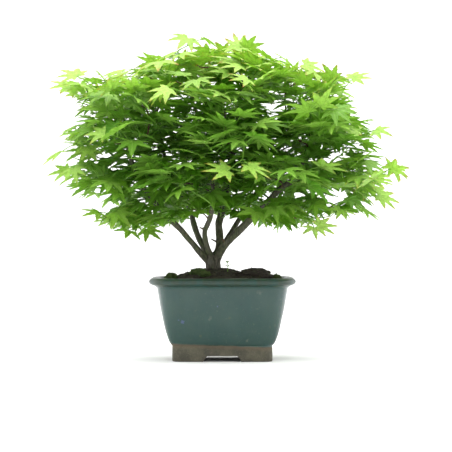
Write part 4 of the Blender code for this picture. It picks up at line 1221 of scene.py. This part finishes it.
# ---------------------------------------------------------------- leaves

LEAF_RINGS = (0.40, 0.72, 1.0)
LEAF_STYLES = (
    # lobes as angles from the middle one and shares of its length, and how deep the cuts reach
    (((0.0, 1.00), (39.0, 0.90), (80.0, 0.68), (120.0, 0.34)), 0.37),
    (((0.0, 1.00), (36.0, 0.92), (74.0, 0.74), (114.0, 0.42)), 0.39),
    (((0.0, 1.00), (43.0, 0.87), (90.0, 0.60)), 0.36),
    (((0.0, 1.00), (38.0, 0.88), (79.0, 0.64), (119.0, 0.30)), 0.35),
    (((0.0, 1.00), (41.0, 0.89), (85.0, 0.62)), 0.37),
)
LOBE_SWELL = 1.7  # how much a lobe widens before it narrows to its tip
LOBE_POINT = 1.35  # how drawn out the tip is
TOOTH = 0.17
LEAF_FOOT = 0.16
HEEL = 16.0  # degrees from the last lobe to the leaf's foot
DROOPS = (0.6, 1.0, 1.5)
TWIG_LENGTH = 0.050
TWIG_STEPS = 6
TWIG_RADIUS = 0.0010
SIDE_RADIUS = 0.00075
LEADER_RADIUS = 0.0011
TWIG_SIDES = 6
DRAW_STEPS = 7
DRAW_SHARE = 0.7
UPRIGHT = 0.5  # a leader that rises more steeply than this stands upright
TERMINAL = 0.9  # a leaf farther along its twig than this is at its end
LEAF_TRIES = 16
STALK_RADII = (0.00070, 0.00052, 0.00048, 0.00056)  # from the twig to the blade
STALK_SIDES = 5
STALK_SHARES = (0.0, 0.3, 0.6, 1.0)
SPUR_HEIGHT = 0.08  # above the rim; the limbs carry spurs from here up


def lobe_side(lobe_angle, length, cut_angle, cut, teeth):
    """One side of a lobe from the cut to short of its tip, as angles and reaches from the leaf's foot."""
    spread = math.radians(cut_angle - lobe_angle)
    start = cut * math.cos(spread)
    half = cut * math.sin(spread)
    samples = []
    for tooth in range(teeth):
        for step, push in ((0.35, 1.0 + TOOTH), (0.72, 1.0 - 0.6 * TOOTH)):
            u = (tooth + step) / (teeth + 0.35)
            width = half * (1 + LOBE_SWELL * u) * (1 - u) ** LOBE_POINT * push
            x = start + (length - start) * (u + (0.02 if push > 1 else 0.0))
            samples.append((lobe_angle + math.degrees(math.atan2(width, x)), math.hypot(x, width)))
    return samples


def leaf_outline(lobes, cut):
    """The outline from right to left: angle, reach, the lobe it belongs to, and whether it is a midrib."""
    whole = [(-angle, share) for angle, share in lobes[:0:-1]] + list(lobes)
    outline = []
    last = len(whole) - 1
    for number, (angle, share) in enumerate(whole):
        teeth = 3 if share > 0.6 else 2
        before = (whole[number - 1][0] + angle) / 2 if number else angle - HEEL
        after = (whole[number + 1][0] + angle) / 2 if number < last else angle + HEEL
        low = LEAF_FOOT if number == 0 else cut * min(1.0, 0.55 + 0.45 * min(share, whole[number - 1][1]))
        high = LEAF_FOOT if number == last else cut * min(1.0, 0.55 + 0.45 * min(share, whole[number + 1][1]))
        outline.append((before, low, number, False))
        right = lobe_side(-angle, share, -before, low, teeth)
        outline += [(-a, reach, number, False) for a, reach in right]
        outline.append((angle, share, number, True))
        left = lobe_side(angle, share, after, high, teeth)
        outline += [(a, reach, number, False) for a, reach in reversed(left)]
    outline.append((whole[-1][0] + HEEL, LEAF_FOOT, last, False))
    return whole, outline


class LeafPattern:
    """One leaf of length 1 that points along X and faces up, to be copied at many places."""

    def __init__(self, style, chance, thickness, droop):
        lobes, cut = style
        lobes = tuple((angle + chance.uniform(-2, 2) * (angle > 0), share * chance.uniform(0.94, 1.05))
                      for angle, share in lobes)
        whole, outline = leaf_outline(lobes, cut)
        angles = [angle for angle, _ in whole]
        hang = [droop * chance.uniform(0.5, 1.5) * (0.8 + 0.5 * abs(angle) / 90) for angle in angles]
        twist = [chance.uniform(-4, 4) for _ in angles]
        fold = chance.uniform(0.16, 0.34)
        top, under, marks, rim = [], [], [], []
        for ring in LEAF_RINGS:
            for angle, reach, lobe, midrib in outline:
                centre = angles[lobe]
                r = ring * reach
                off = abs(math.radians(angle - centre))
                bend = np.interp(angle, angles, twist) * ring
                turn = math.radians(angle + bend)
                beside = r * math.sin(off)
                along = r * math.cos(off) / whole[lobe][1]
                drop = float(np.interp(angle, angles, hang)) * (r * r * 0.75 + 0.25 * r**4)
                z = fold * beside - drop + 0.05 * r
                x, y = r * math.cos(turn), r * math.sin(turn)
                lens = thickness * (1 - ring * ring) * 0.5
                rib = 0.010 * (1.05 - ring) if midrib else 0.0
                top.append((x, y, z + lens))
                under.append((x, y, z - lens - rib))
                marks.append((along, beside, ring))
                rim.append(ring == 1.0)
        keep = len(top) - len(outline)
        feet = [(0.0, 0.0, 0.4 * thickness), (0.0, 0.0, -0.8 * thickness)]
        self.points = np.array(top + under[:keep] + feet)
        self.marks = np.array(marks + marks[:keep] + [(0.0, 0.0, 0.0)] * 2)
        self.rim = np.array(rim + [False] * (keep + 2))
        self.join(len(outline), len(LEAF_RINGS))
        self.thin_out(outline)

    def join(self, count, rings):
        """The faces of both sides, which meet at the margin, and of the open ends beside the foot."""
        keep = count * (rings - 1)
        foot_top, foot_under = count * rings + keep, count * rings + keep + 1
        upper, lower = [], []

        def below(index):
            return index if index >= keep else count * rings + index

        for k in range(count - 1):
            upper.append((foot_top, k, k + 1))
            lower.append((foot_under, below(k + 1), below(k)))
            for ring in range(rings - 1):
                a, b = ring * count + k, (ring + 1) * count + k
                upper += [(a, b, b + 1), (a, b + 1, a + 1)]
                lower += [(below(a), below(b + 1), below(b)), (below(a), below(a + 1), below(b + 1))]
        for k in (0, count - 1):
            for ring in range(-1, rings - 1):
                outer = (ring + 1) * count + k
                outer_under = below(outer)
                inner = foot_top if ring < 0 else ring * count + k
                inner_under = foot_under if ring < 0 else below(inner)
                quad = (inner, inner_under, outer_under, outer)
                if k:
                    quad = (inner, outer, outer_under, inner_under)
                lower.append(quad[:3])
                if outer != outer_under:
                    lower.append((quad[0], quad[2], quad[3]))
        self.upper, self.lower = np.array(upper), np.array(lower)

    def thin_out(self, outline):
        """A coarse leaf through the tips and the cuts, to test for room, and the tips of the lobes."""
        count = len(outline)
        picks = [i for i, (_, _, _, midrib) in enumerate(outline) if midrib]
        cuts = [i for i, (_, _, lobe, _) in enumerate(outline) if i == 0 or lobe != outline[i - 1][2]]
        ordered = sorted(picks + cuts + [count - 1])
        foot = len(self.points) - 2
        self.coarse = [foot] + [count + i for i in ordered] + [2 * count + i for i in ordered]
        n = len(ordered)
        self.coarse_faces = [(0, 1 + i, 2 + i) for i in range(n - 1)]
        self.coarse_faces += [(1 + i, 1 + n + i, 2 + n + i) for i in range(n - 1)]
        self.coarse_faces += [(1 + i, 2 + n + i, 2 + i) for i in range(n - 1)]
        self.tips = [2 * count + i for i in picks]


def with_patterns(leaf):
    """The leaf patterns that the crown is hung with."""
    chance = random.Random(SEED + 4)
    lens = leaf.thickness / leaf.leaf_length
    return [LeafPattern(style, chance, lens, leaf.droop * strength)
            for strength in DROOPS for style in LEAF_STYLES]


class Growth:
    """What has grown so far, to keep each new leaf clear of it."""

    def __init__(self):
        self.centres = np.zeros((0, 3))
        self.reaches = np.zeros(0)
        self.trees = []

    def add(self, points, faces):
        """Keeps a shape, for the others to be tested against."""
        centre, reach = middle_of(points)
        self.centres = np.vstack([self.centres, centre])
        self.reaches = np.append(self.reaches, reach)
        self.trees.append(BVHTree.FromPolygons([tuple(p) for p in points], faces))

    def has_room(self, points, faces):
        """Whether a shape cuts nothing that has grown."""
        centre, reach = middle_of(points)
        near = np.flatnonzero(np.linalg.norm(self.centres - centre, axis=1) < self.reaches + reach)
        shape = BVHTree.FromPolygons([tuple(p) for p in points], faces)
        return not any(self.trees[i].overlap(shape) for i in near)


def middle_of(points):
    """The middle of some points, and how far they reach from it."""
    centre = points.mean(axis=0)
    return centre, np.linalg.norm(points - centre, axis=1).max()


def inside_crown(place, room=0.0):
    """Whether a place lies in the crown's outline, grown by some room, as the eye sees it from the front."""
    if not all(low - TIP_ROOM < part < high + TIP_ROOM for part, low, high in zip(place, *CAD_BOX)):
        return False
    eye = LOOKED_AT.z + EYE_DISTANCE * math.sin(EYE_ELEVATION)
    nearer = EYE_DISTANCE / (EYE_DISTANCE + place[1])
    x, z = place[0] * nearer, eye + (place[2] - eye) * nearer - POT_HEIGHT
    x /= 1 + room / CROWN_HALF_LENGTH
    z = CROWN_MIDDLE + (z - CROWN_MIDDLE) / (1 + room / CROWN_HALF_HEIGHT)
    inside = False
    for (x0, z0), (x1, z1) in zip(CROWN_OUTLINE, CROWN_OUTLINE[1:] + CROWN_OUTLINE[:1]):
        if (z0 > z) != (z1 > z) and x < (x1 - x0) * (z - z0) / (z1 - z0) + x0:
            inside = not inside
    return inside


def twig(start, aim, reach, chance, rise):
    """A twig's line from its start, which wavers and bends up by its rise."""
    line = [start]
    for _ in range(TWIG_STEPS):
        line.append(line[-1] + aim * reach / TWIG_STEPS)
        aim = (aim + UP * rise + any_way(chance) * 0.07).normalized()
    return line


def drawn_in(line):
    """A twig's line, shortened until its end lies within the crown."""
    for _ in range(DRAW_STEPS):
        if inside_crown(line[-1]):
            break
        line = [line[0].lerp(place, DRAW_SHARE) for place in line]
    return line


def twigs_of(place, out, spurs, chance, side_twigs):
    """A spray's main twig, the spurs on its branch and its side twigs: each has its line, its radius,
    where its leaves grow, and whether it is a leader."""
    outward = Vector((out.x, out.y, 0)).normalized()
    across = UP.cross(outward)
    main = drawn_in(twig(place, out, TWIG_LENGTH, chance, 0.03))
    twigs = [(main, TWIG_RADIUS, (0.40, 0.70, 0.98), False)]
    for knot in spurs:
        turn, pitch = chance.uniform(0, 2 * math.pi), math.radians(chance.uniform(-15, 60))
        aim = swung(level_way(turn), UP, pitch)
        line = drawn_in(twig(knot, aim, chance.uniform(0.018, 0.034), chance, 0.04))
        twigs.append((line, SIDE_RADIUS, (0.50, 0.97), False))
    for number in range(side_twigs):
        share = 0.06 + 0.66 * number / max(1, side_twigs - 1)
        knot = main[0].lerp(main[-1], share)
        knot = main[round(share * TWIG_STEPS)].lerp(knot, 0.2)
        side = 1 if number % 2 else -1
        turn = math.radians(side * chance.uniform(38, 95 - 40 * share))
        aim = swung(swung(outward, across, turn), UP, math.radians(chance.uniform(-34, 62)))
        line = drawn_in(twig(knot, aim, chance.uniform(0.022, 0.036), chance, 0.04))
        twigs.append((line, SIDE_RADIUS, (0.52, 0.97), False))
    return twigs


def add_leaders(sprays):
    """A long shoot to each leader's end, from the twig that can reach it."""
    chance = random.Random(SEED + 5)
    for end in LEADERS:
        tip = above_rim(end)
        best = None
        for _, _, twigs, _ in sprays:
            for line, _, _, leader in twigs:
                for k in range(0 if leader else 1, TWIG_STEPS - 1):
                    away = (tip - line[k]).length
                    cost = away + (0.05 if away < 0.012 or leader else 0.0) + max(0.0, line[k].z - tip.z)
                    if best is None or cost < best[0]:
                        best = (cost, line[k], twigs, (line[k + 1] - line[k]).normalized())
        _, start, twigs, along = best
        reach = (tip - start).length
        bend = start + along * reach * 0.4 + Vector((0.0, 0.0, 0.1 * reach))
        line = curved(start, bend, tip, [k / TWIG_STEPS for k in range(TWIG_STEPS + 1)])
        line = [start] + [place + any_way(chance, 0.0006) for place in line[1:]]
        twigs.append((line, LEADER_RADIUS, (0.60, 0.98) if reach > 0.022 else (0.98,), True))


def youth_and_light_at(place, terminal, chance):
    """How new a leaf looks, with painted light and shade, by its place in the crown: the new ones are outside
    and on top, lit ones also outside at the sides and the bottom, and inner ones get painted shade.
    """
    up = (place.z - POT_HEIGHT - 0.05) / 0.29
    out = math.sqrt((place.x / 0.25)**2 + ((place.y - CANOPY_BACK) / 0.20)**2
                    + ((place.z - POT_HEIGHT - 0.17) / 0.17)**2)
    # Partly age and partly painted light: outer leaves on top, at the sides and at the bottom get the light
    # colour, and inner leaves keep the dark one as painted shade.
    outside = clamped((out - 0.45) / 0.40)
    high = clamped((up - 0.52) / 0.32)
    aside = clamped((abs(place.x) - 0.13) / 0.08) * (0.45 + 0.55 * clamped(up))
    skirt = 0.14 + 0.9 * max(0.0, 0.32 - up)
    young_and_lit = max(high, aside, skirt) * outside + (0.32 * outside if terminal else 0.0)
    young_and_lit += chance.gauss(0.04, 0.10)
    return clamped(young_and_lit), clamped(up)


def set_within(flat, across, side, terminal, up, chance):
    """How a leaf within the crown is set: the ways its petiole and its middle lobe point, and its face."""
    turn = math.radians(side * chance.uniform(10 if terminal else 24, 52 if terminal else 88))
    pitch = math.radians(chance.uniform(-22 + 24 * up, 28 + 38 * up))
    way = swung(swung(flat, across, turn), UP, pitch)
    low = max(0.0, 1.0 - 3.5 * up)
    level = swung(flat, across, turn + math.radians(chance.uniform(-28, 28)))
    lifted = up * up * (34 if terminal else 12) * abs(level.y)
    dip = math.radians(chance.uniform(-14 + 42 * low - 16 * up - lifted, 34 + 36 * low - 8 * up - lifted))
    face = swung(UP, level, dip) + level.cross(UP) * chance.uniform(-0.7, 0.7)
    return way, swung(level, -UP, dip), face


def set_on_leader(ahead, across, side, up, chance):
    """How a leaf at the end of a leader is set: it opens to its own side, and faces up and out."""
    way = swung(ahead, across * side, math.radians(chance.uniform(24, 56))) + UP * 0.15
    turn = math.radians(chance.uniform(14, 60) if ahead.z > UPRIGHT else chance.uniform(22, 72))
    sideways = 1 - 0.75 * abs(ahead.y)
    hang = max(0.0, 0.75 - 1.6 * up) * chance.uniform(0.2, 1.0) * sideways - 0.25 * up
    heading = swung(ahead, across * side, turn) - UP * hang
    tilt = chance.choice((-1, 1)) * chance.uniform(0.35, 0.95) * sideways
    if ahead.z > UPRIGHT:
        return way.normalized(), heading.normalized(), UP * 0.3 + across.cross(UP) * tilt
    face = UP * 0.8 + across.cross(UP) * chance.uniform(0.3, 0.8) + across * tilt
    return way.normalized(), heading.normalized(), face


def grow_leaf(knot, ahead, side, ends, growth, patterns, chance, leaf):
    """A leaf on its petiole where there is room for it, or None. The ends say whether the leaf is at
    the end of a twig, and whether it is at the end of a leader."""
    terminal, leader = ends
    flat = Vector((ahead.x, ahead.y, 0))
    flat = flat.normalized() if flat.length > 0.1 else Vector((knot.x, knot.y, 0)).normalized()
    across = UP.cross(flat)
    for attempt in range(LEAF_TRIES):
        youth_and_light, up = youth_and_light_at(knot, terminal, chance)
        if leader:
            # Leaders are new growth; those that point to the front get a darker colour as painted shade.
            leader_youth_and_light = (0.45, 0.85) if ahead.y < -0.6 else (0.75, 1.0)
            youth_and_light = max(youth_and_light, chance.uniform(*leader_youth_and_light))
            sideways = Vector((1.0, chance.uniform(-0.3, 0.3), 0.0)) if ahead.z > UPRIGHT else across
            way, heading, face = set_on_leader(ahead, sideways.normalized(), side, up, chance)
            face = face.normalized()
            heading = (heading - face * heading.dot(face)).normalized()
        else:
            way, heading, face = set_within(flat, across, side, terminal, up, chance)
        nearer = 1.0 - 0.7 * attempt / LEAF_TRIES
        foot = knot + way * leaf.petiole_length * chance.uniform(0.75, 1.45) * nearer
        face = (face - heading * face.dot(heading)).normalized()
        size = leaf.leaf_length * chance.uniform(0.84, 1.16) * (1.0 - 0.10 * youth_and_light * terminal)
        pattern = patterns[chance.randrange(len(patterns))]
        axes = np.array((heading, face.cross(heading), face)) * size
        coarse = pattern.points[pattern.coarse] @ axes + np.array(foot)
        tips = pattern.points[pattern.tips] @ axes + np.array(foot)
        if not all(inside_crown(tip, LEADER_ROOM * leader) for tip in tips):
            continue
        bow = foot.lerp(knot, 0.5) + UP * 0.0022
        strip = np.array([knot.lerp(bow, 0.35), bow, foot.lerp(bow, 0.1), bow + across * 0.0006])
        points = np.vstack([coarse, strip])
        n = len(coarse)
        faces = pattern.coarse_faces + [(n, n + 1, n + 3), (n + 1, n + 2, n + 3)]
        if growth.has_room(points, faces):
            growth.add(points, faces)
            return pattern, axes, foot, bow, youth_and_light
    return None


def hang_leaves(twigs, growth, patterns, chance, leaf, shape):
    """The leaves of one spray, in opposite pairs."""
    for line, _, shares, leader in twigs:
        for share in shares:
            terminal = share > TERMINAL
            at = share * TWIG_STEPS
            k = min(TWIG_STEPS - 1, int(at))
            knot = line[k].lerp(line[k + 1], at - k)
            ahead = (line[k + 1] - line[k]).normalized()
            for side in (-1, 1):
                ends = (terminal, leader and terminal)
                grown = grow_leaf(knot, ahead, side, ends, growth, patterns, chance, leaf)
                if grown is None:
                    continue
                pattern, axes, foot, bow, youth_and_light = grown
                # The random tone darkens further on inner leaves with painted shade, and the blush follows
                # the mark of age and painted light.
                tone = chance.random() * (1 - 0.7 * youth_and_light)
                nature = (youth_and_light, tone, clamped((youth_and_light - 0.45) * 1.9 * chance.uniform(0.2, 1.1)))
                points = pattern.points @ axes + np.array(foot)
                shape.add(points, [pattern.upper], 0, pattern.rim, lobe=pattern.marks, nature=nature)
                shape.faces.append(pattern.lower + shape.count - len(points))
                shape.slots.append(np.full(len(pattern.lower), 1))
                radii = [part * (1.3 if leader else 1.1) for part in STALK_RADII]
                shape.add(*sweep(curved(knot, bow, foot, STALK_SHARES), radii, STALK_SIDES), 2)


def build_foliage(leaf):
    """Every spray's twigs and leaves, each clear of all the others."""
    patterns = with_patterns(leaf)
    growth = Growth()
    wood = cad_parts["trunk_and_branches"].data
    growth.add(np.array([v.co for v in wood.vertices]), [tuple(face.vertices) for face in wood.polygons])
    places = spray_places()
    knots, chains = grow_wood(places)
    branches = {tuple(knots[chain[-1]][0]): chain for chain in chains}
    inner = {number: [] for number in range(1, len(places) + 1)}
    for chain in chains[:len(LIMBS)]:
        for i in chain:
            knot = knots[i][0]
            if knot.z > POT_HEIGHT + SPUR_HEIGHT:
                nearest = min(range(len(places)), key=lambda n: (places[n][0] - knot).length)
                inner[nearest + 1].append(knot)
    sprays = []
    for number, (place, out) in enumerate(places, start=1):
        chance = random.Random(SEED * 1000 + number)
        spurs = [knots[i][0] for i in branches[tuple(place)][2:-1]] + inner[number] * 2
        twigs = twigs_of(place, out, spurs, chance, leaf.side_twigs)
        sprays.append((number, chance, twigs, Gathering(lobe=3, nature=3)))
    add_leaders(sprays)
    for _, _, twigs, shape in sprays:
        for line, radius, _, _ in twigs:
            radii = [radius * (1 - 0.4 * k / TWIG_STEPS) for k in range(TWIG_STEPS + 1)]
            shape.add(*sweep(line, radii, TWIG_SIDES), 3)
            points, faces = sweep(line, radii, 3)
            growth.add(points, [tuple(face) for array in faces for face in array])
    materials = [leaf_material("maple_leaf_face", leaf, False), leaf_material("maple_leaf_back", leaf, True),
                 stalk_material(leaf), twig_material(leaf)]
    for _, chance, twigs, shape in sprays:
        hang_leaves([one for one in twigs if one[3]], growth, patterns, chance, leaf, shape)
    for number, chance, twigs, shape in sprays:
        hang_leaves([one for one in twigs if not one[3]], growth, patterns, chance, leaf, shape)
        name = f"foliage_{number:02d}"
        show(name, shape.mesh(name), materials, [f"leaf_spray_{number:02d}"])


# ---------------------------------------------------------------- studio

def aimed(thing, place, way):
    """Puts a lamp or a camera at a place, to look a way."""
    thing.location = place
    thing.rotation_euler = way.to_track_quat("-Z", "Y").to_euler()


def area_light(name, place, target, size, power):
    """A round soft lamp that points at a place."""
    lamp = bpy.data.lights.new(name, "AREA")
    lamp.shape = "DISK"
    lamp.size = size
    lamp.energy = power
    aimed(placed(name, lamp), place, Vector(target) - Vector(place))


def set_stage(studio):
    """A pale floor that curves up into a backdrop, soft light from above and the sides, and the camera."""
    foot, back = BACKDROP_PLACE - BACKDROP_BEND, BACKDROP_PLACE + STAGE_THICKNESS
    bends = [math.radians(90 * step / BEND_STEPS) for step in range(BEND_STEPS + 1)]
    outline = [(-STAGE_REACH, 0.0)]
    outline += [(foot + BACKDROP_BEND * math.sin(a), BACKDROP_BEND * (1 - math.cos(a))) for a in bends]
    outline += [(BACKDROP_PLACE, BACKDROP_TOP), (back, BACKDROP_TOP), (back, -STAGE_THICKNESS),
                (-STAGE_REACH, -STAGE_THICKNESS)]
    floor = block("studio_floor", [[(x, y, z) for y, z in outline] for x in (-STAGE_REACH, STAGE_REACH)])
    nodes = Finish("studio_floor", 0.9)
    shade = nodes.times(nodes.noise(3.0), 0.06)
    floor.data.materials.append(nodes.done(nodes.mix(shade, studio.floor, (0.84, 0.84, 0.84))))
    world = bpy.data.worlds.new("studio")
    world.use_nodes = True
    world.node_tree.nodes["Background"].inputs["Color"].default_value = (1.0, 1.0, 1.0, 1.0)
    world.node_tree.nodes["Background"].inputs["Strength"].default_value = 0.70
    bpy.context.scene.world = world
    for light in LIGHTS:
        area_light(*light)
    lens = bpy.data.cameras.new("camera")
    lens.sensor_width = 36.0
    lens.lens = lens.sensor_width * studio.distance / studio.view_width
    camera = placed("camera", lens)
    back = Vector((0.0, -math.cos(studio.elevation), math.sin(studio.elevation)))
    aimed(camera, LOOKED_AT + back * studio.distance, -back)
    bpy.context.scene.camera = camera
    bpy.context.scene.view_settings.view_transform = "Standard"


# ---------------------------------------------------------------- operators

class BONSAI_OT_pot(bpy.types.Operator):
    """Builds the glazed pot with its drain holes and foot"""
    bl_idname = "bonsai.build_pot"
    bl_label = "Pot"

    def execute(self, context):
        build_pot(context.scene.bonsai_pot)
        return {"FINISHED"}


class BONSAI_OT_drainage(bpy.types.Operator):
    """Finishes the mesh screens, their wires and the grit"""
    bl_idname = "bonsai.finish_drainage"
    bl_label = "Drainage"

    def execute(self, context):
        finish_drainage()
        return {"FINISHED"}


class BONSAI_OT_soil(bpy.types.Operator):
    """Builds the mound of soil and the clod on it"""
    bl_idname = "bonsai.build_soil"
    bl_label = "Soil"

    def execute(self, context):
        build_soil(context.scene.bonsai_ground)
        build_clod(context.scene.bonsai_ground)
        return {"FINISHED"}


class BONSAI_OT_moss(bpy.types.Operator):
    """Grows the cushions of moss"""
    bl_idname = "bonsai.build_moss"
    bl_label = "Moss"

    def execute(self, context):
        build_moss(context.scene.bonsai_ground)
        return {"FINISHED"}


class BONSAI_OT_seedling(bpy.types.Operator):
    """Grows the weed seedling"""
    bl_idname = "bonsai.build_seedling"
    bl_label = "Seedling"

    def execute(self, context):
        build_seedling(context.scene.bonsai_ground)
        return {"FINISHED"}


class BONSAI_OT_wood(bpy.types.Operator):
    """Grows the roots, the trunk, its limbs and the branches"""
    bl_idname = "bonsai.build_wood"
    bl_label = "Wood"

    def execute(self, context):
        build_wood(context.scene.bonsai_wood)
        return {"FINISHED"}


class BONSAI_OT_foliage(bpy.types.Operator):
    """Grows the twigs and leaves of every spray"""
    bl_idname = "bonsai.build_foliage"
    bl_label = "Foliage"

    def execute(self, context):
        build_foliage(context.scene.bonsai_foliage)
        return {"FINISHED"}


class BONSAI_OT_stage(bpy.types.Operator):
    """Sets the floor, the lights and the camera"""
    bl_idname = "bonsai.set_stage"
    bl_label = "Stage"

    def execute(self, context):
        set_stage(context.scene.bonsai_studio)
        return {"FINISHED"}


STEPS = (BONSAI_OT_stage, BONSAI_OT_pot, BONSAI_OT_drainage, BONSAI_OT_soil, BONSAI_OT_moss,
         BONSAI_OT_seedling, BONSAI_OT_wood, BONSAI_OT_foliage)
SETTINGS = {
    "bonsai_pot": BonsaiPotSettings,
    "bonsai_ground": BonsaiGroundSettings,
    "bonsai_wood": BonsaiWoodSettings,
    "bonsai_foliage": BonsaiFoliageSettings,
    "bonsai_studio": BonsaiStudioSettings,
}


class BONSAI_PT_panel(bpy.types.Panel):
    """Every step of the bonsai, with its sizes and colours"""
    bl_idname = "BONSAI_PT_panel"
    bl_label = "Maple Bonsai"
    bl_space_type = "VIEW_3D"
    bl_region_type = "UI"
    bl_category = "Bonsai"

    def draw(self, context):
        for step in STEPS:
            self.layout.operator(step.bl_idname)
        for name, group in SETTINGS.items():
            box = self.layout.box()
            for setting in group.__annotations__:
                box.prop(getattr(context.scene, name), setting)


def register():
    for name, group in SETTINGS.items():
        bpy.utils.register_class(group)
        setattr(bpy.types.Scene, name, bpy.props.PointerProperty(type=group))
    for item in STEPS + (BONSAI_PT_panel,):
        bpy.utils.register_class(item)


def unregister():
    for item in (BONSAI_PT_panel,) + STEPS:
        bpy.utils.unregister_class(item)
    for name, group in SETTINGS.items():
        delattr(bpy.types.Scene, name)
        bpy.utils.unregister_class(group)


def main():
    register()
    bpy.ops.bonsai.set_stage()
    bpy.ops.bonsai.build_pot()
    bpy.ops.bonsai.finish_drainage()
    bpy.ops.bonsai.build_soil()
    bpy.ops.bonsai.build_moss()
    bpy.ops.bonsai.build_seedling()
    bpy.ops.bonsai.build_wood()
    bpy.ops.bonsai.build_foliage()
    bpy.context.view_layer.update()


if __name__ == "__main__":
    main()
